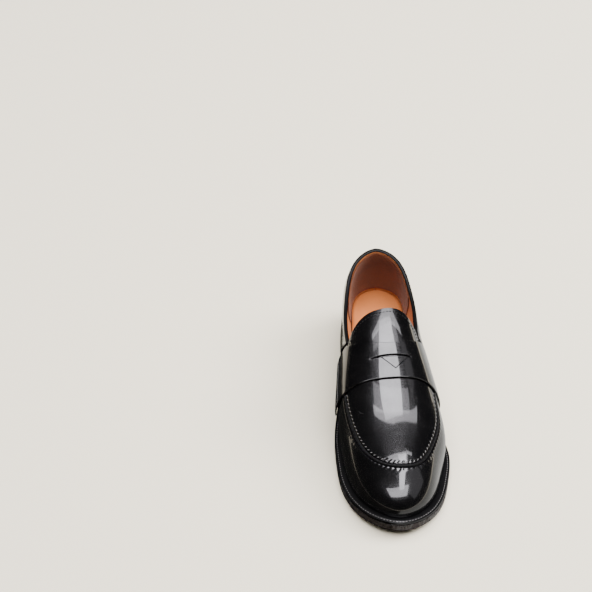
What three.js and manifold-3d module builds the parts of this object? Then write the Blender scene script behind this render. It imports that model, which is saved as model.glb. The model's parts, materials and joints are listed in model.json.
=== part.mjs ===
// Penny loafer, right foot. Millimetres, +Z up, toe towards -Y, outer side of the foot towards -X.
//
// Everything above the sole is laid on one surface, the last: the foot form that the shoe is made on.
// A place on the last is given by a side (lateral or medial), by along (0 at the toe tip, 1 at the
// middle of the heel, measured round the edge) and by up (0 at the sole, 1 on the ridge of the foot).
// A sheet of leather is a patch of that surface between two distances from it.
import * as THREE from "three";
import { mergeVertices } from "three/addons/utils/BufferGeometryUtils.js";
import Module from "manifold-3d";

const wasm = await Module();
wasm.setup();

// ---- overall sizes
const OUTSOLE_LENGTH = 300;
const BALL_WIDTH = 106;
const TOE_SPRING = 9;
const HEEL_HEIGHT = 20;
const INSTEP_HEIGHT = 101;
const BACK_HEIGHT = 88;
const SIDE_HEIGHT = 65;

// ---- thicknesses
const GAP = 0.3;
const STRAP_CLEARANCE = 0.6;
const OUTSOLE_THICK = 6.2;
const WELT_THICK = 3;
const LINING_THICK = 1;
const STIFFENER_THICK = 0.8;
const UPPER_THICK = 1.5;
const OVERLAY_THICK = 1.4;
const INSOLE_THICK = 2;
const SOCK_THICK = 1.2;
const CUSHION_THICK = 2;
const GRIP_THICK = 0.9;
const SHANK_THICK = 1.2;

// ---- sizes of the smaller pieces
const WELT_WIDTH = 14;
const WELT_LEDGE = 5.5;
const TOP_PIECE_THICK = 6;
const HEEL_LENGTH = 74;
const SHANK_WIDTH = 13;
const SHANK_LENGTH = 105;
const SHANK_SHIFT = -4;
const NAIL_RADIUS = 1.2;
const NAIL_RECESS = 0.8;
const NAIL_INSET = 13;
const NAIL_SPAN = [0.83, 0.955];
const SLOT_WIDTH = 50;
const SLOT_OPENING = 3;
const COLLAR_BAND_WIDTH = 11;
const BINDING_WIDTH = 1.6;
const RIDGE_HALF_WIDTH = 1.5;
const RIDGE_THICK = 1.6;
const BACK_STRIP_HALF_WIDTH = 9;
const TAPE_WIDTH = 6;
const CUSHION_INSET = 8;
const SOCK_INSET = 1.2;
const INSOLE_CLEARANCE = 0.8;
const TUCK = 2;
const RISE_BEFORE = 30;
const RISE_LENGTH = 26;
const PUFF_DROP = 4;
const COUNTER_DROP = 8;
const GRIP_LIFT = 3;
const GRIP_DROP = 2;
const RIDGE_EDGE_SHARE = 0.4;

// ---- where the pieces begin and end along the edge of the sole, toe tip 0 and heel 1
const VAMP_END = 0.5;
const JUNCTION = 0.58;
const COLLAR_START = 0.595;
const PUFF_END = 0.2;
const COUNTER_START = 0.8;
const GRIP_START = 0.775;
const RAND_START = 0.75;
const CORK_END = 0.45;
const FILLER_START = 0.8;
const STRAP_END_UP = 0.13;

// ---- where the pieces begin and end along the ridge, as shares of the length
const STRAP_FRONT = 0.435;
const STRAP_REAR = 0.54;
const TONGUE_TOP = 0.655;
const STRAP_FLARE = 4;

// ---- outline of the outsole: distance from the toe and from the centre line, as shares
const TIP_SHIFT = 0.015;
const LATERAL_OUTLINE = [
  [0.032, 0.207], [0.093, 0.355], [0.183, 0.45], [0.293, 0.48], [0.393, 0.478],
  [0.507, 0.43], [0.627, 0.37], [0.75, 0.335], [0.85, 0.322], [0.943, 0.26],
];
const MEDIAL_OUTLINE = [
  [0.033, 0.25], [0.1, 0.385], [0.193, 0.465], [0.293, 0.504], [0.4, 0.437],
  [0.517, 0.33], [0.633, 0.275], [0.74, 0.303], [0.85, 0.325], [0.943, 0.27],
];

// ---- shape of the last, as shares along the shoe or along its edge
const RIB_TOP = [
  [0, 0.207], [0.2, 0.255], [0.4, 0.395], [0.5, 0.49], [0.6, 0.59], [0.7, 0.69], [0.85, 0.81], [1, 0.873],
];
const RIDGE_AT_HEEL = 2.5;
const RIDGE_SHIFT = 8;
const RIDGE = [
  [0.167, 0.46], [0.267, 0.51], [0.36, 0.58], [0.44, 0.67], [0.55, 0.82], [0.667, 0.94], [0.873, 1.16],
];
const FLUSH = [[0, 3.6], [0.3, 2.4], [0.6, 0.6], [0.8, 1.4], [1, 2]];
const SHOULDER = [[0, 0.66], [0.3, 0.8], [0.5, 0.86], [0.7, 0.84], [1, 0.75]];
const CROWN = [[0, 0.6], [0.3, 0.66], [0.5, 0.73], [0.7, 0.7], [1, 0.56]];
const BULGE = {
  lateral: [[0, 1], [0.3, 1.5], [0.5, 5], [0.65, 7], [0.85, 4], [1, 2]],
  medial: [[0, 1], [0.3, 2], [0.5, 11], [0.62, 12], [0.85, 4], [1, 2]],
};
const BULGE_HEIGHT = [[0, 14], [0.3, 18], [0.5, 32], [0.65, 35], [1, 32]];
const SEAM = [[0, 0.78], [0.1, 0.71], [0.2, 0.57], [0.3, 0.46], [0.4, 0.41], [0.5, 0.4], [0.6, 0.44]];

const ALONG_STEPS = 32;

// Natural cubic spline through [x, y] pairs.
function spline(pairs) {
  const n = pairs.length;
  const bend = new Array(n).fill(0);
  const work = new Array(n).fill(0);
  for (let i = 1; i < n - 1; i++) {
    const [x0, y0] = pairs[i - 1];
    const [x1, y1] = pairs[i];
    const [x2, y2] = pairs[i + 1];
    const share = (x1 - x0) / (x2 - x0);
    const pivot = share * bend[i - 1] + 2;
    bend[i] = (share - 1) / pivot;
    const turn = (y2 - y1) / (x2 - x1) - (y1 - y0) / (x1 - x0);
    work[i] = ((6 * turn) / (x2 - x0) - share * work[i - 1]) / pivot;
  }
  for (let i = n - 2; i >= 0; i--) bend[i] = bend[i] * bend[i + 1] + work[i];
  return (x) => {
    let i = 1;
    while (i < n - 1 && pairs[i][0] < x) i++;
    const [x0, y0] = pairs[i - 1];
    const [x1, y1] = pairs[i];
    const h = x1 - x0;
    const a = (x1 - x) / h;
    const b = 1 - a;
    return a * y0 + b * y1 + (((a ** 3 - a) * bend[i - 1] + (b ** 3 - b) * bend[i]) * h * h) / 6;
  };
}

// The same, with no slope at either end: the values are mirrored there, as a shape's are at its middle.
function evenSpline(pairs) {
  const [x0] = pairs[0];
  const [x1] = pairs[pairs.length - 1];
  const before = pairs.slice(1, 4).map(([x, y]) => [2 * x0 - x, y]).reverse();
  const after = pairs.slice(-4, -1).map(([x, y]) => [2 * x1 - x, y]).reverse();
  return spline([...before, ...pairs, ...after]);
}

const clamp = (x, low, high) => Math.min(Math.max(x, low), high);
const mix = (a, b, t) => a + (b - a) * t;
const smooth = (t) => t * t * (3 - 2 * t);

// ---- the outsole's edge
const toMm = ([along, across], sign) => [sign * across * BALL_WIDTH, (along - 0.5) * OUTSOLE_LENGTH];
const tip = [TIP_SHIFT * BALL_WIDTH, -OUTSOLE_LENGTH / 2];
const back = [0, OUTSOLE_LENGTH / 2];
const lateralPoints = LATERAL_OUTLINE.map((p) => toMm(p, -1));
const medialPoints = MEDIAL_OUTLINE.map((p) => toMm(p, 1)).reverse();
const loop = [tip, ...lateralPoints, back, ...medialPoints];

// The closed loop is wrapped past both of its ends, so that the spline is smooth at the tip as well.
const WRAP = 4;
const wrapped = [...loop.slice(-WRAP), ...loop, ...loop.slice(0, WRAP + 1)];
const chord = [0];
for (let i = 1; i < wrapped.length; i++) {
  const [a, b] = [wrapped[i - 1], wrapped[i]];
  chord.push(chord[i - 1] + Math.hypot(b[0] - a[0], b[1] - a[1]));
}
const loopX = spline(wrapped.map((p, i) => [chord[i], p[0]]));
const loopY = spline(wrapped.map((p, i) => [chord[i], p[1]]));

const TABLE_STEPS = 400;
function edgeTable(from, to, outwardX) {
  const rows = [];
  let length = 0;
  for (let i = 0; i <= TABLE_STEPS; i++) {
    const t = mix(from, to, i / TABLE_STEPS);
    const x = loopX(t);
    const y = loopY(t);
    if (i) length += Math.hypot(x - rows[i - 1].x, y - rows[i - 1].y);
    const dx = loopX(t + 0.01) - loopX(t - 0.01);
    const dy = loopY(t + 0.01) - loopY(t - 0.01);
    const size = Math.hypot(dx, dy);
    rows.push({ x, y, length, nx: dy / size, ny: -dx / size });
  }
  const flip = Math.sign(rows[TABLE_STEPS / 2].nx) === outwardX ? 1 : -1;
  return rows.map((r) => ({ ...r, nx: r.nx * flip, ny: r.ny * flip, along: r.length / length }));
}
const atTip = chord[WRAP];
const atBack = chord[WRAP + 1 + lateralPoints.length];
const atTipAgain = chord[WRAP + loop.length];
const edges = {
  lateral: edgeTable(atTip, atBack, -1),
  medial: edgeTable(atTipAgain, atBack, 1),
};
const EDGE_LENGTH = edges.lateral[TABLE_STEPS].length;

// The edge of the outsole at a share along, with its outward direction.
function edgeAt(side, along) {
  const rows = edges[side];
  let low = 0;
  let high = TABLE_STEPS;
  while (high - low > 1) {
    const middle = (low + high) >> 1;
    if (rows[middle].along <= along) low = middle;
    else high = middle;
  }
  const [a, b] = [rows[low], rows[high]];
  const t = (along - a.along) / (b.along - a.along);
  return { x: mix(a.x, b.x, t), y: mix(a.y, b.y, t), nx: mix(a.nx, b.nx, t), ny: mix(a.ny, b.ny, t) };
}
function edgePoint(side, along, outward) {
  const e = edgeAt(side, along);
  return [e.x + e.nx * outward, e.y + e.ny * outward];
}
function alongAtY(side, y, outward = 0) {
  let low = 0;
  let high = 1;
  for (let i = 0; i < 40; i++) {
    const middle = (low + high) / 2;
    if (edgePoint(side, middle, outward)[1] < y) low = middle;
    else high = middle;
  }
  return low;
}

// Height of the outsole's underside: it touches the ground at the ball, and the heel lifts its back.
const underside = spline([
  [0, TOE_SPRING], [0.1, TOE_SPRING * 0.45], [0.2, TOE_SPRING * 0.1], [0.3, 0], [0.39, 0],
  [0.47, HEEL_HEIGHT * 0.09], [0.57, HEEL_HEIGHT * 0.34], [0.67, HEEL_HEIGHT * 0.66],
  [0.76, HEEL_HEIGHT * 0.93], [0.84, HEEL_HEIGHT], [1, HEEL_HEIGHT],
]);
function soleZ(y) {
  const share = y / OUTSOLE_LENGTH + 0.5;
  if (share > 0.84) return HEEL_HEIGHT;
  if (share > 0.29 && share < 0.4) return 0;
  return Math.max(underside(share), 0);
}

// ---- heights above the underside of the outsole
const weltBottom = OUTSOLE_THICK + GAP;
const weltTop = weltBottom + WELT_THICK;
const insoleBottom = weltTop + GAP;
const insoleTop = insoleBottom + INSOLE_THICK;
const sockBottom = insoleTop + GAP;

// ---- distances of the layers from the last
const lining = [0, LINING_THICK];
const stiffener = [lining[1] + GAP, lining[1] + GAP + STIFFENER_THICK];
const upper = [stiffener[1] + GAP, stiffener[1] + GAP + UPPER_THICK];
const overlay = [upper[1] + GAP, upper[1] + GAP + OVERLAY_THICK];
const strapLayer = [upper[1] + STRAP_CLEARANCE, upper[1] + STRAP_CLEARANCE + OVERLAY_THICK];
const grip = [-GAP - GRIP_THICK, -GAP];

// ---- the last
const flush = evenSpline(FLUSH);
const shoulder = evenSpline(SHOULDER);
const crown = evenSpline(CROWN);
const bulge = { lateral: evenSpline(BULGE.lateral), medial: evenSpline(BULGE.medial) };
const bulgeHeight = evenSpline(BULGE_HEIGHT);
const ribTop = evenSpline(RIB_TOP);
const ridgeHeight = spline(RIDGE.map(([s, share]) => [s, share * INSTEP_HEIGHT]));
const seamUp = evenSpline(SEAM);

function bareLast(side, along, up) {
  const e = edgeAt(side, along);
  const inward = WELT_LEDGE + upper[1] + flush(along) - TUCK;
  const foot = [e.x - e.nx * inward, e.y - e.ny * inward];
  const s = ribTop(along);
  const ridge = [RIDGE_AT_HEEL + RIDGE_SHIFT * (1 - along), (s - 0.5) * OUTSOLE_LENGTH];
  const slope = (ridgeHeight(s + 0.002) - ridgeHeight(s - 0.002)) / (0.004 * OUTSOLE_LENGTH);
  const dx = ridge[0] - foot[0];
  const dy = ridge[1] - foot[1];
  const reach = Math.hypot(dx, dy);
  const down = 1 - up;
  const inwardRun = reach * (3 * down * up * up * (1 - crown(along)) + up ** 3);
  const rise = 3 * down * down * up * shoulder(along) + 3 * down * up * up + up ** 3;
  const line = ridgeHeight(s) + (dy / reach) * slope * (inwardRun - reach);
  const base = soleZ(foot[1]) + insoleBottom;
  const h = (line - base) * rise;
  const hb = bulgeHeight(along);
  const out = bulge[side](along) * (h / hb) ** 2 * Math.exp(2 * (1 - h / hb)) * (1 - up ** 3);
  const x = foot[0] + (dx / reach) * (inwardRun - out);
  const y = foot[1] + (dy / reach) * (inwardRun - out);
  const settle = (soleZ(y) - soleZ(foot[1])) * (1 - rise);
  return [x, y, base + h + settle, rise, slope];
}

// A point at a distance outwards from the last.
function lastPoint(side, along, up, distance) {
  const p = bareLast(side, along, up);
  if (!distance) return p.slice(0, 3);
  let n;
  if (up > 0.9999) {
    n = new THREE.Vector3(0, -p[4], 1);
  } else {
    const step = 1e-4;
    const a0 = bareLast(side, Math.max(along - step, 0), up);
    const a1 = bareLast(side, Math.min(along + step, 1), up);
    const u0 = bareLast(side, along, Math.max(up - step, 0));
    const u1 = bareLast(side, along, up + step);
    const da = new THREE.Vector3(a1[0] - a0[0], a1[1] - a0[1], a1[2] - a0[2]);
    const du = new THREE.Vector3(u1[0] - u0[0], u1[1] - u0[1], u1[2] - u0[2]);
    n = side === "lateral" ? du.cross(da) : da.cross(du);
  }
  n.normalize();
  const q = [p[0] + n.x * distance, p[1] + n.y * distance, p[2] + n.z * distance];
  q[2] += (soleZ(q[1]) - soleZ(p[1])) * (1 - p[3]) ** 2;
  return q;
}

// The share up at which the last reaches a height.
function upAtHeight(side, along, z) {
  let low = 0;
  let high = 1;
  for (let i = 0; i < 40; i++) {
    const middle = (low + high) / 2;
    if (bareLast(side, along, middle)[2] < z) low = middle;
    else high = middle;
  }
  return (low + high) / 2;
}
// A share up moved by a length measured over the surface.
function upMoved(side, along, up, mm) {
  const step = 1e-3;
  const a = bareLast(side, along, clamp(up - step, 0, 1));
  const b = bareLast(side, along, clamp(up + step, 0, 1));
  const length = Math.hypot(b[0] - a[0], b[1] - a[1], b[2] - a[2]);
  const rate = length / (clamp(up + step, 0, 1) - clamp(up - step, 0, 1));
  return clamp(up + mm / rate, 0, 1);
}
const shareOf = (mm) => mm / EDGE_LENGTH;
// The share along at which a line of equal up is at y.
function alongAtPlace(side, up, y) {
  let low = 0;
  let high = 1;
  for (let i = 0; i < 40; i++) {
    const middle = (low + high) / 2;
    if (bareLast(side, middle, up)[1] < y) low = middle;
    else high = middle;
  }
  return (low + high) / 2;
}
const yOf = (share) => (share - 0.5) * OUTSOLE_LENGTH;

// The topline: the rim that the foot goes in at.
const toplineHeight = {};
for (const side of ["lateral", "medial"]) {
  const junctionHeight = bareLast(side, JUNCTION, seamUp(JUNCTION))[2];
  toplineHeight[side] = spline([
    [JUNCTION, junctionHeight], [0.67, mix(SIDE_HEIGHT, junctionHeight, 0.3)], [0.75, SIDE_HEIGHT],
    [0.84, mix(SIDE_HEIGHT, BACK_HEIGHT, 0.3)], [0.93, mix(SIDE_HEIGHT, BACK_HEIGHT, 0.82)], [1, BACK_HEIGHT],
  ]);
}
const topline = (side, along) => upAtHeight(side, along, toplineHeight[side](along));
const quarterTop = (side, along) => (along < JUNCTION ? seamUp(along) : topline(side, along));

// ---- making solids
function toGeometry(positions, faces) {
  const geometry = new THREE.BufferGeometry();
  geometry.setAttribute("position", new THREE.BufferAttribute(new Float32Array(positions.flat()), 3));
  geometry.setIndex(faces);
  const merged = mergeVertices(geometry, 1e-3);
  const index = merged.index.array;
  const kept = [];
  for (let i = 0; i < index.length; i += 3) {
    const [a, b, c] = [index[i], index[i + 1], index[i + 2]];
    if (a !== b && b !== c && c !== a) kept.push(a, b, c);
  }
  merged.setIndex(kept);
  return merged;
}

// A closed sheet over a grid of cells: place(i, j, 0) is its inner face and place(i, j, 1) its outer.
function sheet(columns, rows, place, { has = () => true, ridgeJoined = false } = {}) {
  const positions = [];
  const faces = [];
  const id = (i, j, k) => (i * (rows + 1) + j) * 2 + k;
  for (let i = 0; i <= columns; i++)
    for (let j = 0; j <= rows; j++) positions.push(place(i, j, 0), place(i, j, 1));
  const there = (i, j) => i >= 0 && j >= 0 && i < columns && j < rows && has(i, j);
  const quad = (a, b, c, d) => faces.push(a, b, c, a, c, d);
  for (let i = 0; i < columns; i++) {
    for (let j = 0; j < rows; j++) {
      if (!there(i, j)) continue;
      quad(id(i, j, 1), id(i + 1, j, 1), id(i + 1, j + 1, 1), id(i, j + 1, 1));
      quad(id(i, j + 1, 0), id(i + 1, j + 1, 0), id(i + 1, j, 0), id(i, j, 0));
      if (!there(i, j - 1)) quad(id(i, j, 0), id(i + 1, j, 0), id(i + 1, j, 1), id(i, j, 1));
      if (!there(i, j + 1) && !(ridgeJoined && j + 1 === rows))
        quad(id(i + 1, j + 1, 0), id(i, j + 1, 0), id(i, j + 1, 1), id(i + 1, j + 1, 1));
      if (!there(i - 1, j)) quad(id(i, j + 1, 0), id(i, j, 0), id(i, j, 1), id(i, j + 1, 1));
      if (!there(i + 1, j)) quad(id(i + 1, j, 0), id(i + 1, j + 1, 0), id(i + 1, j + 1, 1), id(i + 1, j, 1));
    }
  }
  return toGeometry(positions, faces);
}

// Shares along, from one to another, on the steps that all the layers keep.
function alongSteps(from, to) {
  const steps = [from];
  const first = Math.floor(from * ALONG_STEPS + 1.2);
  const last = Math.ceil(to * ALONG_STEPS - 1.2);
  for (let i = first; i <= last; i++) steps.push(i / ALONG_STEPS);
  steps.push(to);
  return steps;
}
// Stations run anticlockwise seen from above, so that a patch over them faces outwards.
const roundToe = (steps) => [
  ...steps.slice(1).reverse().map((along) => ["lateral", along]),
  ...steps.map((along) => ["medial", along]),
];
const roundHeel = (steps) => [
  ...steps.map((along) => ["medial", along]),
  ...steps.slice(0, -1).reverse().map((along) => ["lateral", along]),
];

// A patch of a layer over a run of stations, between two edges given as functions of the station.
function patch(stations, rows, lowEdge, highEdge, layer, options) {
  const place = (i, j, k) => {
    const [side, along] = stations[i];
    const up = mix(lowEdge(side, along), highEdge(side, along), j / rows);
    return lastPoint(side, along, up, layer[k]);
  };
  return sheet(stations.length - 1, rows, place, options);
}

// A level slab under the foot between two heights, which are functions of y.
function slab(steps, inset, low, high, columns = 4) {
  const place = (i, j, k) => {
    const outward = -inset(steps[i]);
    const a = edgePoint("lateral", steps[i], outward);
    const b = edgePoint("medial", steps[i], outward);
    const x = mix(a[0], b[0], j / columns);
    const y = mix(a[1], b[1], j / columns);
    return [x, y, (k ? high : low)(y)];
  };
  const flipped = (i, j, k) => place(i, columns - j, k);
  return sheet(steps.length - 1, columns, flipped);
}

// A ring slab that follows the edge of the outsole.
function rim(stations, outer, width, low, high) {
  const place = (i, j, k) => {
    const [side, along] = stations[i];
    const [x, y] = edgePoint(side, along, -outer - width * j);
    return [x, y, (k ? high : low)(y)];
  };
  return sheet(stations.length - 1, 1, place);
}

function toSolid(geometry) {
  const plain = new THREE.BufferGeometry();
  plain.setAttribute("position", geometry.getAttribute("position").clone());
  if (geometry.index) plain.setIndex(geometry.index.clone());
  const merged = mergeVertices(plain, 1e-3);
  return new wasm.Manifold(
    new wasm.Mesh({
      numProp: 3,
      vertProperties: merged.attributes.position.array,
      triVerts: new Uint32Array(merged.index.array),
    }),
  );
}
function fromSolid(solid) {
  const mesh = solid.getMesh();
  const geometry = new THREE.BufferGeometry();
  geometry.setAttribute("position", new THREE.BufferAttribute(mesh.vertProperties.slice(), 3));
  geometry.setIndex(Array.from(mesh.triVerts));
  return geometry;
}

// ---- leathers and the other materials
function finish(color, roughness, metalness = 0) {
  return new THREE.MeshStandardMaterial({ color, roughness, metalness });
}
const blackLeather = finish("#0d0d10", 0.16);
const tanLining = finish("#b06f3f", 0.6);
const suede = finish("#6f3c20", 0.9);
const sockLeather = finish("#c98c5c", 0.5);
const soleLeather = finish("#1d1715", 0.45);
const rubber = finish("#151414", 0.8);
const cork = finish("#9a7448", 0.95);
const fibre = finish("#8c6f52", 0.9);
const foam = finish("#c9b28a", 1);
const steel = finish("#8d9094", 0.35, 1);
const stiffCloth = finish("#d9d2c2", 0.9);

const shoe = new THREE.Group();
function add(name, geometry, material) {
  const mesh = new THREE.Mesh(geometry, material);
  mesh.name = name;
  shoe.add(mesh);
}

const fullSteps = alongSteps(0, 1);
const sides = ["lateral", "medial"];
const above = (height) => (y) => soleZ(y) + height;
const atEdge = () => 0;

// ---- the bottom
add("outsole", slab(fullSteps, atEdge, above(0), above(OUTSOLE_THICK)), soleLeather);
const weltStations = roundToe(alongSteps(0, RAND_START));
add("welt", rim(weltStations, 0, WELT_WIDTH, above(weltBottom), above(weltTop)), blackLeather);
const randStations = roundHeel(alongSteps(RAND_START + shareOf(GAP), 1));
add("heel_rand", rim(randStations, 0, WELT_WIDTH, above(weltBottom), above(weltTop)), soleLeather);

const insideWelt = () => WELT_WIDTH + GAP;
const corkSteps = alongSteps(0, CORK_END);
add("forefoot_cork", slab(corkSteps, insideWelt, above(weltBottom), above(weltTop)), cork);
const fillerSteps = alongSteps(FILLER_START, 1);
add("heel_seat_filler", slab(fillerSteps, insideWelt, above(weltBottom), above(weltTop)), fibre);

// The shank lies in the waist between the cork and the heel seat, and a board covers it.
const waistSteps = alongSteps(CORK_END + shareOf(GAP * 2), FILLER_START - shareOf(GAP * 2));
const boardBottom = weltBottom + SHANK_THICK + GAP;
add("shank_board", slab(waistSteps, insideWelt, above(boardBottom), above(weltTop)), fibre);
const waistMiddle = (CORK_END + FILLER_START) / 2;
const waistYs = sides.map((side) => edgePoint(side, waistMiddle, 0)[1]);
const shankMiddle = (waistYs[0] + waistYs[1]) / 2;
const SHANK_STEPS = 12;
const shankPlace = (i, j, k) => {
  const t = i / SHANK_STEPS;
  const taper = 1 - 0.35 * Math.abs(2 * t - 1) ** 3;
  const y = shankMiddle + (t - 0.5) * SHANK_LENGTH;
  const x = SHANK_SHIFT - (j - 0.5) * SHANK_WIDTH * taper;
  return [x, y, soleZ(y) + weltBottom + k * SHANK_THICK];
};
add("shank", sheet(SHANK_STEPS, 1, shankPlace), steel);

// ---- the heel
const breastY = OUTSOLE_LENGTH / 2 - HEEL_LENGTH;
const heelFrom = { lateral: alongAtY("lateral", breastY), medial: alongAtY("medial", breastY) };
const HEEL_STEPS = 12;
function heelSlab(low, high) {
  const place = (i, j, k) => {
    const t = smooth(i / HEEL_STEPS) * 0.5 + (i / HEEL_STEPS) * 0.5;
    const a = edgePoint("lateral", mix(heelFrom.lateral, 1, t), 0);
    const b = edgePoint("medial", mix(heelFrom.medial, 1, t), 0);
    const x = mix(b[0], a[0], j / 6);
    const y = mix(b[1], a[1], j / 6);
    return [x, y, k ? high(y) : low(y)];
  };
  return sheet(HEEL_STEPS, 6, place);
}
const LIFTS = 3;
const liftBottom = TOP_PIECE_THICK + GAP;
const liftPitch = (HEEL_HEIGHT - liftBottom) / LIFTS;
const level = (z) => () => z;
const underOutsole = (y) => soleZ(y) - GAP;
const heelLayers = [["heel_top_piece", level(0), level(TOP_PIECE_THICK), rubber]];
for (let n = 0; n < LIFTS; n++) {
  const low = liftBottom + n * liftPitch;
  const high = n === LIFTS - 1 ? underOutsole : level(low + liftPitch - GAP);
  heelLayers.push([`heel_lift_${n + 1}`, level(low), high, soleLeather]);
}
// Nails hold the lifts together, from inside the top piece up into the last lift but one.
const NAILS = 6;
const nailTop = liftBottom + (LIFTS - 1) * liftPitch - GAP * 2;
const nailPlaces = [];
for (let n = 0; n < NAILS; n++) {
  const along = mix(...NAIL_SPAN, (n % (NAILS / 2)) / (NAILS / 2 - 1));
  const side = n < NAILS / 2 ? "lateral" : "medial";
  nailPlaces.push(edgePoint(side, along, -NAIL_INSET));
}
function nailAt([x, y], radius, low, high) {
  const nail = new THREE.CylinderGeometry(radius, radius, high - low, 10);
  nail.rotateX(Math.PI / 2);
  nail.translate(x, y, (low + high) / 2);
  return nail;
}
const nailHole = (place) => toSolid(nailAt(place, NAIL_RADIUS + GAP, -1, nailTop + GAP));
for (const [name, low, high, material] of heelLayers) {
  let solid = toSolid(heelSlab(low, high));
  const holes = low(0) < nailTop ? nailPlaces.map(nailHole) : [];
  for (const hole of holes) solid = solid.subtract(hole);
  add(name, fromSolid(solid), material);
}
nailPlaces.forEach((place, n) => {
  add(`heel_nail_${n + 1}`, nailAt(place, NAIL_RADIUS, NAIL_RECESS, nailTop), steel);
});

// ---- under the foot
const insoleInset = (along) => WELT_LEDGE + upper[1] + flush(along) - TUCK + INSOLE_CLEARANCE;
add("insole_board", slab(fullSteps, insoleInset, above(insoleBottom), above(insoleTop)), fibre);
const cushionSteps = alongSteps(GRIP_START, 1);
const cushionOutline = (along) => insoleInset(along) + CUSHION_INSET;
const cushionTop = above(sockBottom + CUSHION_THICK);
add("heel_cushion", slab(cushionSteps, cushionOutline, above(sockBottom), cushionTop), foam);
// The sock rises over the cushion.
const cushionY = Math.min(...sides.map((side) => edgePoint(side, GRIP_START, 0)[1]));
const sockRise = (y) => {
  const t = (y - cushionY + RISE_BEFORE) / RISE_LENGTH;
  return (CUSHION_THICK + GAP) * smooth(clamp(t, 0, 1));
};
const sockLow = (y) => soleZ(y) + sockBottom + sockRise(y);
const sockHigh = (y) => sockLow(y) + SOCK_THICK;
const sockInset = (along) => insoleInset(along) + SOCK_INSET;
add("sock_liner", slab(fullSteps, sockInset, sockLow, sockHigh), sockLeather);

// ---- the upper
const vampStations = roundToe(alongSteps(0, VAMP_END));
const belowSeam = (side, along) => upMoved(side, along, seamUp(along), -GAP);
const ridgeTop = () => 1;
add("vamp", patch(vampStations, 8, atEdge, belowSeam, upper), blackLeather);
add("vamp_lining", patch(vampStations, 7, atEdge, belowSeam, lining), tanLining);

// The apron is one piece with the tongue, whose end is rounded: its edge climbs to the ridge there.
const TONGUE_STEPS = 6;
// A station over TONGUE_BASE is a share of the way round the tongue's end.
const TONGUE_BASE = 2;
const tongueStations = Array.from({ length: TONGUE_STEPS }, (_, i) => TONGUE_BASE + (i + 1) / TONGUE_STEPS);
const apronStations = roundToe([...alongSteps(0, JUNCTION), ...tongueStations]);
function apronPatch(layer) {
  const rows = 7;
  const place = (i, j, k) => {
    const [side, station] = apronStations[i];
    if (station <= JUNCTION) return lastPoint(side, station, mix(seamUp(station), 1, j / rows), layer[k]);
    const turn = (station - TONGUE_BASE) * (Math.PI / 2);
    const edge = 1 - (1 - seamUp(JUNCTION)) * Math.cos(turn);
    const up = mix(edge, 1, j / rows);
    const y = mix(bareLast(side, JUNCTION, up)[1], yOf(TONGUE_TOP), Math.sin(turn));
    return lastPoint(side, alongAtPlace(side, up, y), up, layer[k]);
  };
  return sheet(apronStations.length - 1, rows, place, { ridgeJoined: true });
}
add("apron", apronPatch(upper), blackLeather);
add("apron_lining", apronPatch(lining), tanLining);

const puffStations = roundToe(alongSteps(0, PUFF_END));
const puffTop = (side, along) => upMoved(side, along, seamUp(along), -PUFF_DROP);
add("toe_puff", patch(puffStations, 6, atEdge, puffTop, stiffener), stiffCloth);

for (const side of sides) {
  const start = VAMP_END + shareOf(GAP);
  const end = 1 - shareOf(GAP);
  let stations = alongSteps(start, end).map((along) => [side, along]);
  if (side === "lateral") stations = stations.reverse();
  const top = (s, along) => (along < JUNCTION ? belowSeam(s, along) : quarterTop(s, along));
  add(`quarter_${side}`, patch(stations, 8, atEdge, top, upper), blackLeather);
  add(`quarter_lining_${side}`, patch(stations, 7, atEdge, top, lining), tanLining);
}
const counterStations = roundHeel(alongSteps(COUNTER_START, 1));
const counterTop = (side, along) => upMoved(side, along, topline(side, along), -TAPE_WIDTH - COUNTER_DROP);
add("heel_counter", patch(counterStations, 7, atEdge, counterTop, stiffener), stiffCloth);
const collarStations = roundHeel(alongSteps(COLLAR_START, 1));
const tapeLow = (side, along) => upMoved(side, along, topline(side, along), -TAPE_WIDTH);
add("topline_tape", patch(collarStations, 1, tapeLow, topline, stiffener), stiffCloth);

// ---- what lies on the upper
const bandLow = (side, along) => upMoved(side, along, topline(side, along), -COLLAR_BAND_WIDTH);
add("collar_band", patch(collarStations, 2, bandLow, topline, overlay), blackLeather);
const bindingLow = (side, along) => upMoved(side, along, topline(side, along), GAP);
const bindingHigh = (side, along) => upMoved(side, along, topline(side, along), GAP + BINDING_WIDTH);
const bindingLayer = [lining[0], overlay[1]];
add("topline_binding", patch(collarStations, 1, bindingLow, bindingHigh, bindingLayer), blackLeather);
const stripStations = roundHeel(alongSteps(1 - shareOf(BACK_STRIP_HALF_WIDTH), 1));
const stripTop = (side, along) => upMoved(side, along, bandLow(side, along), -GAP);
add("back_strip", patch(stripStations, 7, atEdge, stripTop, overlay), blackLeather);
const gripStations = roundHeel(alongSteps(GRIP_START, 1));
const gripFoot = sockBottom - insoleBottom + CUSHION_THICK + SOCK_THICK + GRIP_LIFT;
const gripLow = (side, along) => upMoved(side, along, 0, gripFoot);
const gripHigh = (side, along) => upMoved(side, along, topline(side, along), -GRIP_DROP);
add("heel_grip", patch(gripStations, 6, gripLow, gripHigh, grip), suede);

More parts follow.
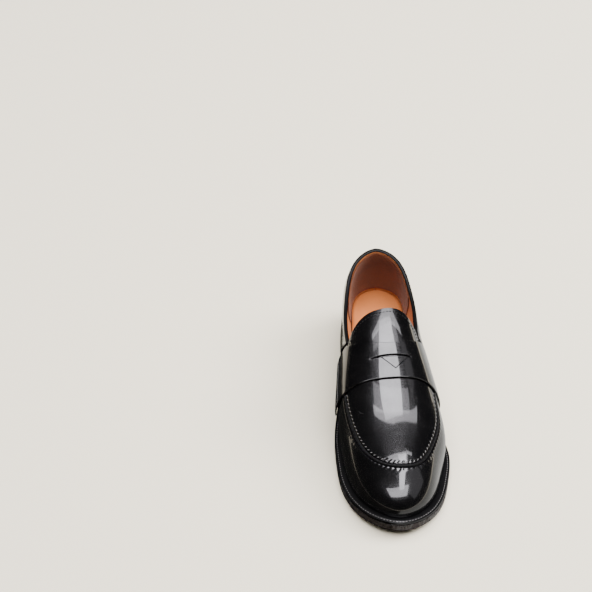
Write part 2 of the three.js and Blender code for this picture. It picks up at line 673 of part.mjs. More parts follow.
// The saddle strap crosses the instep, with a slot in its middle. Its front edge flares a little at the
// ends, and its rear edge runs back to the junction of the tongue and the topline.
const STRAP_COLUMNS = 13;
const SLOT_COLUMNS = 4;
const strapMiddleAlong = alongAtPlace("lateral", 1, yOf((STRAP_FRONT + STRAP_REAR) / 2));
const slotEndUp = upMoved("lateral", strapMiddleAlong, 1, -SLOT_WIDTH / 2);
const strapUp = (n) =>
  n <= SLOT_COLUMNS
    ? mix(1, slotEndUp, n / SLOT_COLUMNS)
    : mix(slotEndUp, STRAP_END_UP, (n - SLOT_COLUMNS) / (STRAP_COLUMNS - SLOT_COLUMNS));
const strapFrontY = (up) => yOf(STRAP_FRONT) - STRAP_FLARE * ((1 - up) / (1 - STRAP_END_UP)) ** 2;
function strapRearY(side, up) {
  const corner = bareLast(side, JUNCTION, seamUp(JUNCTION))[1] - GAP;
  const t = clamp((1 - up) / (1 - seamUp(JUNCTION)), 0, 1);
  return mix(yOf(STRAP_REAR), corner, t * t);
}
const strapWidth = (STRAP_REAR - STRAP_FRONT) * OUTSOLE_LENGTH;
const SLOT_AT = 0.58;
const strapRows = [0, 0.14, 0.28, 0.43, SLOT_AT, SLOT_AT + SLOT_OPENING / strapWidth, 0.8, 0.9, 1];
const slotRow = 4;
const strapPlace = (i, j, k) => {
  const n = i - STRAP_COLUMNS;
  const side = n < 0 ? "lateral" : "medial";
  const up = strapUp(Math.abs(n));
  const y = mix(strapFrontY(up), strapRearY(side, up), strapRows[j]);
  return lastPoint(side, alongAtPlace(side, up, y), up, strapLayer[k]);
};
const slotCell = (i, j) => j === slotRow && Math.abs(i + 0.5 - STRAP_COLUMNS) < SLOT_COLUMNS;
const strapCells = { has: (i, j) => !slotCell(i, j) };
const strapSheet = sheet(2 * STRAP_COLUMNS, strapRows.length - 1, strapPlace, strapCells);
add("saddle_strap", strapSheet, blackLeather);

// The raised hand-sewn ridge over the seam of the apron, as far as the strap.
const RIDGE_TO_STRAP = 2;
const ridgeEnd = Math.min(
  ...sides.map((side) => alongAtPlace(side, seamUp(0.45), strapFrontY(seamUp(0.45)) - RIDGE_TO_STRAP)),
);
const ridgeStations = roundToe(alongSteps(0, ridgeEnd));
const ridgePlace = (i, j, k) => {
  const [side, along] = ridgeStations[i];
  const up = upMoved(side, along, seamUp(along), (j - 1) * RIDGE_HALF_WIDTH);
  const crest = j === 1 ? RIDGE_THICK : RIDGE_THICK * RIDGE_EDGE_SHARE;
  return lastPoint(side, along, up, overlay[0] + k * crest);
};
add("moc_seam_ridge", sheet(ridgeStations.length - 1, 2, ridgePlace), blackLeather);

// The frame's origin is under the middle of the shoe's box.
const box = new THREE.Box3().setFromObject(shoe);
shoe.position.set(-(box.min.x + box.max.x) / 2, -(box.min.y + box.max.y) / 2, 0);

export default shoe;
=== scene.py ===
# %% [markdown]
# # A penny loafer
# A slip-on leather shoe for the right foot. The packed model gives its size and its place, and this
# lesson makes the surface that is seen: leather over a last, stitches, a welted sole, a lit studio.

# %% Load the frame
import json
import math

import bmesh
import bpy
import numpy as np
from mathutils import Matrix, Vector


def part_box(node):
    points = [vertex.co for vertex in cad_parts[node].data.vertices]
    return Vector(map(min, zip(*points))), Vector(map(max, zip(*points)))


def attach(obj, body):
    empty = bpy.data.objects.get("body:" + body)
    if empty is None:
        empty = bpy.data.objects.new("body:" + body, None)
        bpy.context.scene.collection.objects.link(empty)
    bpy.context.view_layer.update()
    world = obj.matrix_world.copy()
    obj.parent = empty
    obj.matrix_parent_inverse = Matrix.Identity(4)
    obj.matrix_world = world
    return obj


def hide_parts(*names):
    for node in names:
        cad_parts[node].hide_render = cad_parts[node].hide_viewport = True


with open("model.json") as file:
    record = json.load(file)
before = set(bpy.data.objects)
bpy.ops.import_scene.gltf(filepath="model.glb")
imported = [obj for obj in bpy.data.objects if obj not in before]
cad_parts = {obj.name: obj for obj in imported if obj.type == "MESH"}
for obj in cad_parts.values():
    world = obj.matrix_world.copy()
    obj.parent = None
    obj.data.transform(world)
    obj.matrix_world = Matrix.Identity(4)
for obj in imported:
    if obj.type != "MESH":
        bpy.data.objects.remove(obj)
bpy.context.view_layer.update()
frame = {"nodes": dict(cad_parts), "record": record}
MM = 0.001

# %% [markdown]
# ## The last
# A shoemaker stretches leather over a solid foot form, the last. Every piece of the upper is a patch of
# that one surface, so it is worth a formula of its own. A place on it has a side, `along` (0 at the toe
# tip, 1 at the middle of the heel), `up` (0 at the sole, 1 on the ridge) and a distance outwards. These
# are the same numbers that the packed model was made from, in millimetres.

# %% Lengths in millimetres
LENGTH = 300.0
BALL_WIDTH = 106.0
TOE_SPRING = 9.0
HEEL_HEIGHT = 20.0
HEEL_LENGTH = 74.0
INSTEP_HEIGHT = 101.0
BACK_HEIGHT = 88.0
SIDE_HEIGHT = 65.0
OUTSOLE_THICK = 6.2
WELT_LEDGE = 5.5
print("length, ball width and back height:", LENGTH, BALL_WIDTH, BACK_HEIGHT)

# %% Distances of the layers from the last, and their thickness
LAST_BOTTOM = 9.8
SOCK_TOP = 13.3
CUSHION_RISE = 2.3
LINING = 1.0
UPPER = 3.9
UPPER_THICK = 1.5
OVERLAY = 5.6
OVERLAY_THICK = 1.3
print("the upper stands off the last by", UPPER, "and a layer on it by", OVERLAY)

# %% Places along the shoe
VAMP_END = 0.5
JUNCTION = 0.58
STRAP_END_UP = 0.13
STRAP_FRONT = 0.435
STRAP_REAR = 0.54
TONGUE_TOP = 0.655
STRAP_FLARE = 4.0
RAND_START = 0.75


def place_y(far):
    """From a share of the length, 0 at the toe, to a place in millimetres."""
    return (far - 0.5) * LENGTH


print("strap from", place_y(STRAP_FRONT), "to", place_y(STRAP_REAR), "mm")

# %% [markdown]
# ## Smooth curves through a few values
# A maker's pattern is a few marks joined by a bent lath. A natural cubic spline is that lath in numbers.
# It could be a curve object, but the last needs values for thousands of places at once.

# %% Smooth curves through a few values
def spline(pairs):
    """Natural cubic spline through (x, y) pairs, for whole arrays at once."""
    x, y = (np.array(column, float) for column in zip(*pairs))
    h = np.diff(x)
    system = np.eye(len(x))
    turn = np.zeros(len(x))
    for i in range(1, len(x) - 1):
        system[i, i - 1:i + 2] = h[i - 1], 2 * (h[i - 1] + h[i]), h[i]
        turn[i] = 6 * ((y[i + 1] - y[i]) / h[i] - (y[i] - y[i - 1]) / h[i - 1])
    bend = np.linalg.solve(system, turn)

    def value(at):
        at = np.asarray(at, float)
        i = np.clip(np.searchsorted(x, at) - 1, 0, len(h) - 1)
        a = (x[i + 1] - at) / h[i]
        b = 1 - a
        curve = ((a ** 3 - a) * bend[i] + (b ** 3 - b) * bend[i + 1]) * h[i] ** 2 / 6
        return a * y[i] + b * y[i + 1] + curve
    return value


def even_spline(pairs):
    """The same with level ends, as a shape has at its middle line."""
    first, last = pairs[0][0], pairs[-1][0]
    before = [(2 * first - x, y) for x, y in pairs[1:4]][::-1]
    after = [(2 * last - x, y) for x, y in pairs[-4:-1]][::-1]
    return spline(before + list(pairs) + after)


def smooth(t):
    t = np.clip(t, 0, 1)
    return t * t * (3 - 2 * t)


def mix(a, b, t):
    return a + (b - a) * t


print("halfway up a smooth step:", smooth(0.5))

# %% [markdown]
# ## The edge of the outsole
# Everything hangs from this line. It is marked as shares of the length and of the ball's width, and one
# closed spline runs through the marks. Each side is then listed by its share of the way to the heel.

# %% Marks of the outline
LATERAL_OUTLINE = [
    (0.032, 0.207), (0.093, 0.355), (0.183, 0.45), (0.293, 0.48), (0.393, 0.478),
    (0.507, 0.43), (0.627, 0.37), (0.75, 0.335), (0.85, 0.322), (0.943, 0.26),
]
MEDIAL_OUTLINE = [
    (0.033, 0.25), (0.1, 0.385), (0.193, 0.465), (0.293, 0.504), (0.4, 0.437),
    (0.517, 0.33), (0.633, 0.275), (0.74, 0.303), (0.85, 0.325), (0.943, 0.27),
]
TIP_SHIFT = 0.015
WRAP = 4
lateral_points = [(-across * BALL_WIDTH, place_y(far)) for far, across in LATERAL_OUTLINE]
medial_points = [(across * BALL_WIDTH, place_y(far)) for far, across in MEDIAL_OUTLINE][::-1]
loop = [(TIP_SHIFT * BALL_WIDTH, -LENGTH / 2)] + lateral_points + [(0, LENGTH / 2)] + medial_points
wrapped = loop[-WRAP:] + loop + loop[:WRAP + 1]
chord = np.r_[0, np.cumsum(np.hypot(*np.diff(np.array(wrapped), axis=0).T))]
loop_x = spline([(c, p[0]) for c, p in zip(chord, wrapped)])
loop_y = spline([(c, p[1]) for c, p in zip(chord, wrapped)])
print("marks round the sole:", len(loop))

# %% Both sides of the edge
EDGE_SAMPLES = 801


def edge_table(start, end, outward):
    """Points and outward directions from the toe tip to the heel on one side, by share of its length."""
    t = np.linspace(start, end, EDGE_SAMPLES)
    x, y = loop_x(t), loop_y(t)
    length = np.r_[0, np.cumsum(np.hypot(np.diff(x), np.diff(y)))]
    dx, dy = (curve(t + 0.01) - curve(t - 0.01) for curve in (loop_x, loop_y))
    size = np.hypot(dx, dy)
    nx, ny = dy / size, -dx / size
    flip = 1 if np.sign(nx[EDGE_SAMPLES // 2]) == outward else -1
    return length / length[-1], x, y, nx * flip, ny * flip, length[-1]


heel_chord = chord[WRAP + 1 + len(lateral_points)]
edges = {
    -1: edge_table(chord[WRAP], heel_chord, -1),
    1: edge_table(chord[WRAP + len(loop)], heel_chord, 1),
}
EDGE_LENGTH = edges[-1][5]
print("edge of one side:", round(EDGE_LENGTH, 1), "mm")

# %% From the shoe's own middle to the frame
cad_low, cad_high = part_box("outsole")
all_x, all_y = (np.r_[edges[-1][k], edges[1][k]] for k in (1, 2))
SHIFT = np.array([
    (cad_low.x + cad_high.x) / 2 / MM - (all_x.min() + all_x.max()) / 2,
    (cad_low.y + cad_high.y) / 2 / MM - (all_y.min() + all_y.max()) / 2,
    0.0,
])
print("shift to the frame:", SHIFT.round(2), "mm")

# %% Places on the edge
def by_side(side, function):
    """Works out both sides and keeps the one that each point is on."""
    lateral, medial = function(-1), function(1)
    return tuple(np.where(side < 0, a, b) for a, b in zip(lateral, medial))


def edge_at(side, along):
    """Points and outward directions on the edge, interpolated in the side's own table."""
    def on_side(s):
        share, *columns = edges[s][:5]
        return tuple(np.interp(along, share, column) for column in columns)
    return by_side(side, on_side)


def edge_point(side, along, outward):
    x, y, nx, ny = edge_at(side, along)
    return x + nx * outward, y + ny * outward


print("welt's edge at the ball:", [float(c.round(1)) for c in edge_point(np.array(1.0), 0.35, 0.0)])

# %% The underside, seen from the side
FLAT_FROM, FLAT_TO, HEEL_FLAT = 0.29, 0.4, 0.84
underside = spline([
    (0, TOE_SPRING), (0.1, TOE_SPRING * 0.45), (0.2, TOE_SPRING * 0.1), (0.3, 0), (0.39, 0),
    (0.47, HEEL_HEIGHT * 0.09), (0.57, HEEL_HEIGHT * 0.34), (0.67, HEEL_HEIGHT * 0.66),
    (0.76, HEEL_HEIGHT * 0.93), (0.84, HEEL_HEIGHT), (1, HEEL_HEIGHT),
])


def sole_z(y):
    """The height of the outsole's underside, flat on the floor at the ball and level at the heel."""
    far = np.asarray(y) / LENGTH + 0.5
    height = np.maximum(underside(far), 0)
    height = np.where((far > FLAT_FROM) & (far < FLAT_TO), 0, height)
    return np.where(far > HEEL_FLAT, HEEL_HEIGHT, height)


print("toe spring:", float(sole_z(place_y(0))), "and heel:", float(sole_z(place_y(1))), "mm")

# %% [markdown]
# ## The surface of the last
# A cross-section rises from the foot line near the edge to the ridge along the top. Its fullness is set
# by a shoulder, a crown and a bulge, which change along the shoe. A formula with a few splines keeps all
# the pieces on one surface, where a sculpted mesh would have to be copied and trimmed for each.

# %% Fullness along the last
flush = even_spline([(0, 3.6), (0.3, 2.4), (0.6, 0.6), (0.8, 1.4), (1, 2)])
shoulder = even_spline([(0, 0.66), (0.3, 0.8), (0.5, 0.86), (0.7, 0.84), (1, 0.75)])
crown = even_spline([(0, 0.6), (0.3, 0.66), (0.5, 0.73), (0.7, 0.7), (1, 0.56)])
bulge = {
    -1: even_spline([(0, 1), (0.3, 1.5), (0.5, 5), (0.65, 7), (0.85, 4), (1, 2)]),
    1: even_spline([(0, 1), (0.3, 2), (0.5, 11), (0.62, 12), (0.85, 4), (1, 2)]),
}
bulge_height = even_spline([(0, 14), (0.3, 18), (0.5, 32), (0.65, 35), (1, 32)])
rib_top = even_spline([
    (0, 0.207), (0.2, 0.255), (0.4, 0.395), (0.5, 0.49),
    (0.6, 0.59), (0.7, 0.69), (0.85, 0.81), (1, 0.873),
])
ridge_height = spline([
    (far, share * INSTEP_HEIGHT)
    for far, share in ((0.167, 0.46), (0.267, 0.51), (0.36, 0.58), (0.44, 0.67), (0.55, 0.82),
                       (0.667, 0.94), (0.873, 1.16))
])
seam_up = even_spline([
    (0, 0.78), (0.1, 0.71), (0.2, 0.57), (0.3, 0.46), (0.4, 0.41), (0.5, 0.4), (0.6, 0.44),
])
print("apron seam at the toe:", float(seam_up(0)), "of the way up")

# %% The last's formula
RIDGE_AT_HEEL = 2.5
RIDGE_SHIFT = 8.0
TUCK = 2.0
SLOPE_STEP = 0.002


def bare_last(side, along, up):
    """Points on the last in millimetres, with the share of the rise and the ridge's slope."""
    side, along, up = np.broadcast_arrays(*(np.asarray(a, float) for a in (side, along, up)))
    inward = WELT_LEDGE + UPPER + flush(along) - TUCK
    foot_x, foot_y = edge_point(side, along, -inward)
    far = rib_top(along)
    climb = ridge_height(far + SLOPE_STEP) - ridge_height(far - SLOPE_STEP)
    slope = climb / (2 * SLOPE_STEP * LENGTH)
    dx = RIDGE_AT_HEEL + RIDGE_SHIFT * (1 - along) - foot_x
    dy = place_y(far) - foot_y
    reach = np.hypot(dx, dy)
    down = 1 - up
    inward_run = reach * (3 * down * up * up * (1 - crown(along)) + up ** 3)
    rise = 3 * down * down * up * shoulder(along) + 3 * down * up * up + up ** 3
    line = ridge_height(far) + dy / reach * slope * (inward_run - reach)
    base = sole_z(foot_y) + LAST_BOTTOM
    height = (line - base) * rise
    share = height / bulge_height(along)
    out = np.where(side < 0, bulge[-1](along), bulge[1](along)) * share ** 2 * np.exp(2 * (1 - share))
    run = inward_run - out * (1 - up ** 3)
    x, y = foot_x + dx / reach * run, foot_y + dy / reach * run
    settle = (sole_z(y) - sole_z(foot_y)) * (1 - rise)
    return np.stack([x, y, base + height + settle], -1), rise, slope


print("ridge at its rear:", bare_last(1, 1, 1)[0].round(1))

# %% Directions away from the last
STEP = 1e-4
ON_RIDGE = 0.9999
LEVEL_UP, LEVEL_UP_RUN = 0.92, 0.05
LEVEL_ALONG, LEVEL_ALONG_RUN = 0.1, 0.05


def unit(vectors):
    return vectors / np.linalg.norm(vectors, axis=-1)[..., None]


def outward_of_last(side, along, up, slope):
    """Square to the surface. At the ridge's front end, where it folds a little, it is eased level."""
    da = (bare_last(side, np.minimum(along + STEP, 1), up)[0]
          - bare_last(side, np.maximum(along - STEP, 0), up)[0])
    du = bare_last(side, along, up + STEP)[0] - bare_last(side, along, np.maximum(up - STEP, 0))[0]
    level = unit(np.stack([0 * slope, -slope, 1 + 0 * slope], -1))
    normal = unit(np.where((up > ON_RIDGE)[..., None], level, np.cross(da, du) * side[..., None]))
    near_tip = np.clip((up - LEVEL_UP) / LEVEL_UP_RUN, 0, 1)
    near_tip = near_tip * np.clip((LEVEL_ALONG - along) / LEVEL_ALONG_RUN, 0, 1)
    turned = np.where((near_tip > 0) & (normal[..., 2] < 0), -1.0, 1.0)
    return unit(normal * ((1 - near_tip) * turned)[..., None] + level * near_tip[..., None])


def on_last(side, along, up, distance):
    """Points at a distance outwards from the last, in millimetres, in the frame."""
    side, along, up, distance = np.broadcast_arrays(
        *(np.asarray(a, float) for a in (side, along, up, distance)))
    point, rise, slope = bare_last(side, along, up)
    placed = point + outward_of_last(side, along, up, slope) * distance[..., None]
    placed[..., 2] += (sole_z(placed[..., 1]) - sole_z(point[..., 1])) * (1 - rise) ** 2
    return placed + SHIFT


print("upper at the toe's ridge:", on_last(1, 0, 1, UPPER).round(1))

# %% Searches over the last
HALVINGS = 32
MOVE_STEP = 1e-3


def solve(low, high, below):
    """Halves a bracket until below(middle) changes, for whole arrays."""
    for _ in range(HALVINGS):
        middle = (low + high) / 2
        under = below(middle)
        low, high = np.where(under, middle, low), np.where(under, high, middle)
    return (low + high) / 2


def up_at_height(side, along, z):
    """How far up the last reaches a height."""
    zero = np.zeros(np.broadcast(side, along).shape)
    return solve(zero, zero + 1, lambda m: bare_last(side, along, m)[0][..., 2] < z)


def along_at_place(side, up, y):
    """How far along the last reaches a place, at the same share up."""
    zero = np.zeros(np.broadcast(side, up, y).shape)
    return solve(zero, zero + 1, lambda m: bare_last(side, m, up)[0][..., 1] < y)


def up_moved(side, along, up, distance):
    """A share up, moved by a length measured over the surface."""
    low, high = np.clip(up - MOVE_STEP, 0, 1), np.clip(up + MOVE_STEP, 0, 1)
    gap = bare_last(side, along, high)[0] - bare_last(side, along, low)[0]
    return np.clip(up + distance * (high - low) / np.linalg.norm(gap, axis=-1), 0, 1)


print("share up at a 40 mm height, mid-shoe:", up_at_height(1.0, 0.5, 40.0).round(3))

# %% The topline
junction_height = {s: float(bare_last(s, JUNCTION, seam_up(JUNCTION))[0][..., 2]) for s in (-1, 1)}
topline_height = {
    s: spline([
        (JUNCTION, z), (0.67, mix(SIDE_HEIGHT, z, 0.3)), (0.75, SIDE_HEIGHT),
        (0.84, mix(SIDE_HEIGHT, BACK_HEIGHT, 0.3)), (0.93, mix(SIDE_HEIGHT, BACK_HEIGHT, 0.82)),
        (1, BACK_HEIGHT),
    ])
    for s, z in junction_height.items()
}


def topline(side, along):
    height = np.where(side < 0, topline_height[-1](along), topline_height[1](along))
    return up_at_height(side, along, height)


def quarter_top(side, along):
    """The upper edge of the quarters: the apron's seam in front, the topline behind."""
    return np.where(along < JUNCTION, seam_up(along), topline(side, np.maximum(along, JUNCTION)))


print("heights where the tongue meets the topline:", junction_height)

# %% [markdown]
# ## Draping a grid
# A cut piece of leather starts flat. Here it starts as a flat grid, made by an operator, and each of its
# corners is moved to its place on the last. A Solidify modifier then gives it the thickness of the hide
# towards the inside, and one level of subdivision rounds the cut edges.

# %% From a bmesh to a piece
collection = bpy.context.scene.collection


def to_object(name, bm, material, replaces=()):
    """Makes the piece, parents it to the root body's empty and hides the packed nodes that it replaces.
    """
    mesh = bpy.data.meshes.new(name)
    for face in bm.faces:
        face.smooth = True
    bm.to_mesh(mesh)
    bm.free()
    mesh.materials.append(material)
    piece = bpy.data.objects.new(name, mesh)
    collection.objects.link(piece)
    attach(piece, "root")
    if replaces:
        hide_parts(*replaces)
    print(f"{name}: {len(mesh.polygons)} faces")
    return piece


# %% A grid laid on a surface
MERGE = 1e-6
TOO_SMALL = 1e-7


def drape(columns, rows, spot):
    """A grid of columns by rows, whose corners (0..1, 0..1) spot() places in millimetres."""
    bm = bmesh.new()
    bmesh.ops.create_grid(bm, x_segments=columns, y_segments=rows, size=0.5)
    st = np.array([v.co[:2] for v in bm.verts]) + 0.5
    points = spot(st[:, 0], st[:, 1]) * MM
    for vert, point in zip(bm.verts, points):
        vert.co = point
    bmesh.ops.remove_doubles(bm, verts=bm.verts, dist=MERGE)
    bmesh.ops.dissolve_degenerate(bm, edges=bm.edges, dist=TOO_SMALL)
    return bm


def thicken(piece, thickness, levels=1, even=True):
    """Gives a draped piece its wall. A piece that folds at a point is thickened without even walls."""
    wall = piece.modifiers.new("hide", "SOLIDIFY")
    wall.thickness = thickness * MM
    wall.offset = -1
    wall.use_even_offset = even
    if levels:
        rounding = piece.modifiers.new("rounded edges", "SUBSURF")
        rounding.levels = rounding.render_levels = levels


print("a wall of", UPPER_THICK, "mm for the upper,", OVERLAY_THICK, "mm for a layer on it")

# %% Runs round the toe and round the heel
def round_toe(s, reach):
    """A run round the toe, from lateral through the tip to medial."""
    turned = (2 * s - 1) * reach
    return np.where(turned < 0, -1.0, 1.0), np.abs(turned)


def round_heel(s, start):
    """A run round the heel, from medial through the back to lateral."""
    turned = (2 * s - 1) * (1 - start)
    return np.where(turned < 0, 1.0, -1.0), 1 - np.abs(turned)


print("middle of a run round the heel:", round_heel(0.5, JUNCTION)[1])

# %% [markdown]
# ## Shader maths
# A finish is a few numbers that change over the surface. Writing them as plain arithmetic keeps a
# recipe readable, so one small class wraps a socket and turns +, - and * into Math nodes.

# %% Arithmetic on sockets
class Field:
    """A number that changes over a surface, held by a socket of a finish."""

    def __init__(self, finish, socket):
        self.finish = finish
        self.socket = socket

    def __add__(self, other):
        return self.finish.maths("ADD", self, other)

    def __sub__(self, other):
        return self.finish.maths("SUBTRACT", self, other)

    def __mul__(self, other):
        return self.finish.maths("MULTIPLY", self, other)

    def __rsub__(self, other):
        return self.finish.maths("SUBTRACT", other, self)

    __radd__ = __add__
    __rmul__ = __mul__


print("fields know", sum(name.startswith("__r") for name in vars(Field)) - 1, "reflected operators")

# %% A material and its nodes
class Finish:
    """A material whose nodes are added one by one."""

    def __init__(self, name, **constants):
        self.material = bpy.data.materials.new(name)
        self.material.use_nodes = True
        self.tree = self.material.node_tree
        self.shader = self.tree.nodes["Principled BSDF"]
        self.feed(self.shader, constants)
        self.place = self.node("ShaderNodeTexCoord", out="Object")

    def feed(self, node, inputs):
        """Links a field to a socket, or sets a constant."""
        for key, value in inputs.items():
            socket = node.inputs[key]
            if isinstance(value, Field):
                self.tree.links.new(value.socket, socket)
            elif hasattr(value, "__len__") and len(value) == 3 and socket.type == "RGBA":
                socket.default_value = (*value, 1)
            else:
                socket.default_value = value

    def node(self, kind, settings=None, inputs=None, out=0):
        """Adds any node: its settings first, then the values and links of its sockets."""
        node = self.tree.nodes.new(kind)
        for key, value in (settings or {}).items():
            if key == "stops":
                ramp = node.color_ramp
                for element, (position, grey) in zip(list(ramp.elements), value):
                    element.position = position
                    element.color = (grey, grey, grey, 1)
            else:
                setattr(node, key, value)
        self.feed(node, inputs or {})
        return Field(self, node.outputs[out])

    def maths(self, operation, a, b=0.0):
        return self.node("ShaderNodeMath", {"operation": operation}, {0: a, 1: b})

    def axis(self, letter):
        return self.node("ShaderNodeSeparateXYZ", {}, {0: self.place}, out=letter)

    def noise(self, scale, detail=3.0, roughness=0.55, stretch=None):
        place = self.place
        if stretch:
            place = self.node("ShaderNodeMapping", {}, {"Vector": place, "Scale": stretch})
        return self.node("ShaderNodeTexNoise", {}, {
            "Vector": place, "Scale": scale, "Detail": detail, "Roughness": roughness})

    def cells(self, scale):
        return self.node("ShaderNodeTexVoronoi", {"feature": "DISTANCE_TO_EDGE"}, {
            "Vector": self.place, "Scale": scale}, out="Distance")

    def ramp(self, value, low, high):
        return self.node("ShaderNodeValToRGB", {"stops": [(low, 0), (high, 1)]}, {0: value})

    def blend(self, factor, a, b):
        return self.node("ShaderNodeMix", {"data_type": "RGBA"}, {0: factor, 6: a, 7: b}, out=2)

    def bump(self, height, distance, strength=1.0, under=None):
        inputs = {"Height": height, "Distance": distance, "Strength": strength}
        if under:
            inputs["Normal"] = under
        return self.node("ShaderNodeBump", {}, inputs)

    def shade(self, **inputs):
        self.feed(self.shader, inputs)
        return self.material


print("materials so far:", len(bpy.data.materials))

# %% [markdown]
# ## Polished black leather
# Brushed-off calf is black dye under a clear, hard polish. The polish gives a sharp reflection and the
# leather under it a softer one, so a coat lies over a slightly rougher base. Very low waves bend the
# reflections as a hand-lasted surface does, and the pores are a fine, shallow grain.

# %% Black leathers
def black_leather(name, roughness, coat, waves, pores, score=None):
    """Dyed hide under polish. A score is the end and the tip of a V that is pressed into the hide."""
    finish = Finish(name, **{"Coat Roughness": 0.045, "Specular IOR Level": 0.22})
    swell = finish.bump(finish.noise(22, 2), 0.0006 * waves)
    creases = finish.bump(finish.noise(160, 3, 0.6), 0.00012 * waves, 1.0, swell)
    grain = finish.bump(finish.cells(1500), 0.00006 * pores, 0.6, creases)
    scar = 0.0
    if score is not None:
        end, tip = (tuple(float(c) for c in place) for place in score)
        x = finish.maths("ABSOLUTE", finish.axis("X") - tip[0])
        slope = (end[1] - tip[1]) / (end[0] - tip[0])
        off = finish.maths("ABSOLUTE", finish.axis("Y") - tip[1] - x * slope)
        past = finish.maths("GREATER_THAN", x, end[0] - tip[0])
        groove = finish.ramp(off * (1 / MM), 0.2, 0.65)
        whole = finish.maths("MAXIMUM", groove, past)
        scar = 1 - whole
        grain = finish.bump(whole, 0.0006, 1.0, grain)
    wear = finish.ramp(finish.noise(60, 5), 0.35, 0.75)
    colour = finish.blend(wear, (0.0018, 0.0018, 0.0022), (0.0034, 0.0033, 0.0038))
    return finish.shade(**{
        "Base Color": colour,
        "Roughness": wear * 0.07 + roughness + scar * 0.5,
        "Coat Weight": coat - wear * 0.15 - scar * coat,
        "Normal": grain,
    })


polished = black_leather("polished black calf", 0.2, 0.9, 1.0, 1.0)
satin_black = black_leather("black bead leather", 0.5, 0.06, 0.4, 1.4)
welt_black = black_leather("waxed black welt", 0.4, 0.3, 0.4, 1.6)
print("black leathers:", polished.name, "|", satin_black.name, "|", welt_black.name)

# %% [markdown]
# ## Tan lining, suede and sock
# Vegetable-tanned lining is matt and warm, and takes fine wrinkles where the shoe is lasted. The heel
# grip is the same hide turned over, so it is darker, rougher and has a short nap. The sock is smooth.

# %% Linings
def tan_leather(name, dark, light, roughness, wrinkle, nap, sheen):
    finish = Finish(name, **{"Sheen Weight": sheen, "Sheen Roughness": 0.5, "Specular IOR Level": 0.35})
    cloud = finish.ramp(finish.noise(35, 5, 0.6), 0.3, 0.72)
    fibre = finish.noise(1400, 4, 0.7)
    folds = finish.noise(90, 4, 0.6, (1.0, 1.0, 2.6))
    rough = finish.bump(folds, 0.0009 * wrinkle)
    fuzz = finish.bump(fibre, 0.00022 * nap, 0.8, rough)
    mottle = finish.blend(cloud * 0.7 + fibre * 0.3, dark, light)
    return finish.shade(**{
        "Base Color": mottle,
        "Roughness": cloud * 0.12 + roughness,
        "Normal": fuzz,
    })


lining_tan = tan_leather("tan lining calf", (0.4, 0.12, 0.034), (0.55, 0.19, 0.06), 0.5, 1.0, 0.8, 0.06)
grip_suede = tan_leather("brown suede", (0.1, 0.026, 0.007), (0.19, 0.052, 0.015), 0.85, 0.6, 2.0, 0.12)
sock_tan = tan_leather(
    "light tan sock leather", (0.5, 0.15, 0.04), (0.6, 0.19, 0.055), 0.42, 0.15, 0.6, 0.03)
print("tan leathers:", lining_tan.name, "|", grip_suede.name, "|", sock_tan.name)

# %% [markdown]
# ## Sole leather, stacked lifts, rubber, thread
# A cut leather edge is stained dark and waxed. Its layers show as faint lines along the edge, which a
# noise stretched flat gives. Rubber is dull with a fine moulded tooth, and waxed thread is twisted.

# %% Waxed leather edges
def sole_edge(name, colour_a, colour_b, roughness):
    finish = Finish(name, **{"Coat Roughness": 0.25, "Specular IOR Level": 0.4})
    layers = finish.noise(9, 3, 0.5, (1.0, 1.0, 90.0))
    scuffs = finish.ramp(finish.noise(220, 5, 0.65), 0.45, 0.8)
    relief = finish.bump(layers, 0.00003, 0.5)
    tooth = finish.bump(finish.noise(2100, 3), 0.00005, 0.6, relief)
    return finish.shade(**{
        "Base Color": finish.blend(layers, colour_a, colour_b),
        "Roughness": scuffs * 0.06 + roughness,
        "Coat Weight": 0.12 - scuffs * 0.05,
        "Normal": tooth,
    })


sole_dark = sole_edge("waxed sole edge", (0.016, 0.0125, 0.012), (0.022, 0.0175, 0.017), 0.4)
lift_dark = sole_edge("stacked lift edge", (0.0095, 0.0075, 0.0072), (0.022, 0.016, 0.0145), 0.36)
print("sole finishes:", sole_dark.name, "|", lift_dark.name)

# %% Rubber and steel
def rubber_finish():
    finish = Finish("hard black rubber", **{"Specular IOR Level": 0.35})
    dust = finish.ramp(finish.noise(300, 5, 0.7), 0.5, 0.85)
    return finish.shade(**{
        "Base Color": finish.blend(dust, (0.012, 0.012, 0.012), (0.03, 0.028, 0.026)),
        "Roughness": dust * 0.15 + 0.62,
        "Normal": finish.bump(finish.cells(900), 0.00012, 0.7),
    })


def nail_finish():
    finish = Finish("steel nail", Metallic=1.0)
    marks = finish.noise(900, 4)
    return finish.shade(**{
        "Base Color": finish.blend(marks, (0.3, 0.3, 0.31), (0.5, 0.5, 0.5)),
        "Roughness": marks * 0.2 + 0.3,
    })


rubber = rubber_finish()
nail_steel = nail_finish()
print("finishes for the heel:", rubber.name, "|", nail_steel.name)

# %% Thread
def thread_finish(name, colour, roughness):
    finish = Finish(name)
    twist = finish.node("ShaderNodeTexWave", {"bands_direction": "DIAGONAL"}, {
        "Vector": finish.place, "Scale": 700, "Distortion": 0.6})
    return finish.shade(**{
        "Base Color": finish.blend(twist * 0.4, colour, tuple(c * 0.5 for c in colour)),
        "Roughness": twist * 0.1 + roughness,
        "Normal": finish.bump(twist, 0.0001, 0.7),
    })


# This thread is black. Its grey base colour is a painted highlight that stands in for the glints that
# its glossy wax shows.
thread_painted_grey_for_glints = thread_finish("black thread painted grey for its glints", (0.2, 0.195, 0.205), 0.42)
black_thread = thread_finish("waxed black thread", (0.003, 0.003, 0.0035), 0.7)
print("finishes:", len(bpy.data.materials))

# %% [markdown]
# ## The seam round the apron
# The apron is sewn to the vamp by hand, with long stitches that pull both leathers into small puckers.
# The seam's own length, measured from the tip of the toe, places every stitch and every pucker.

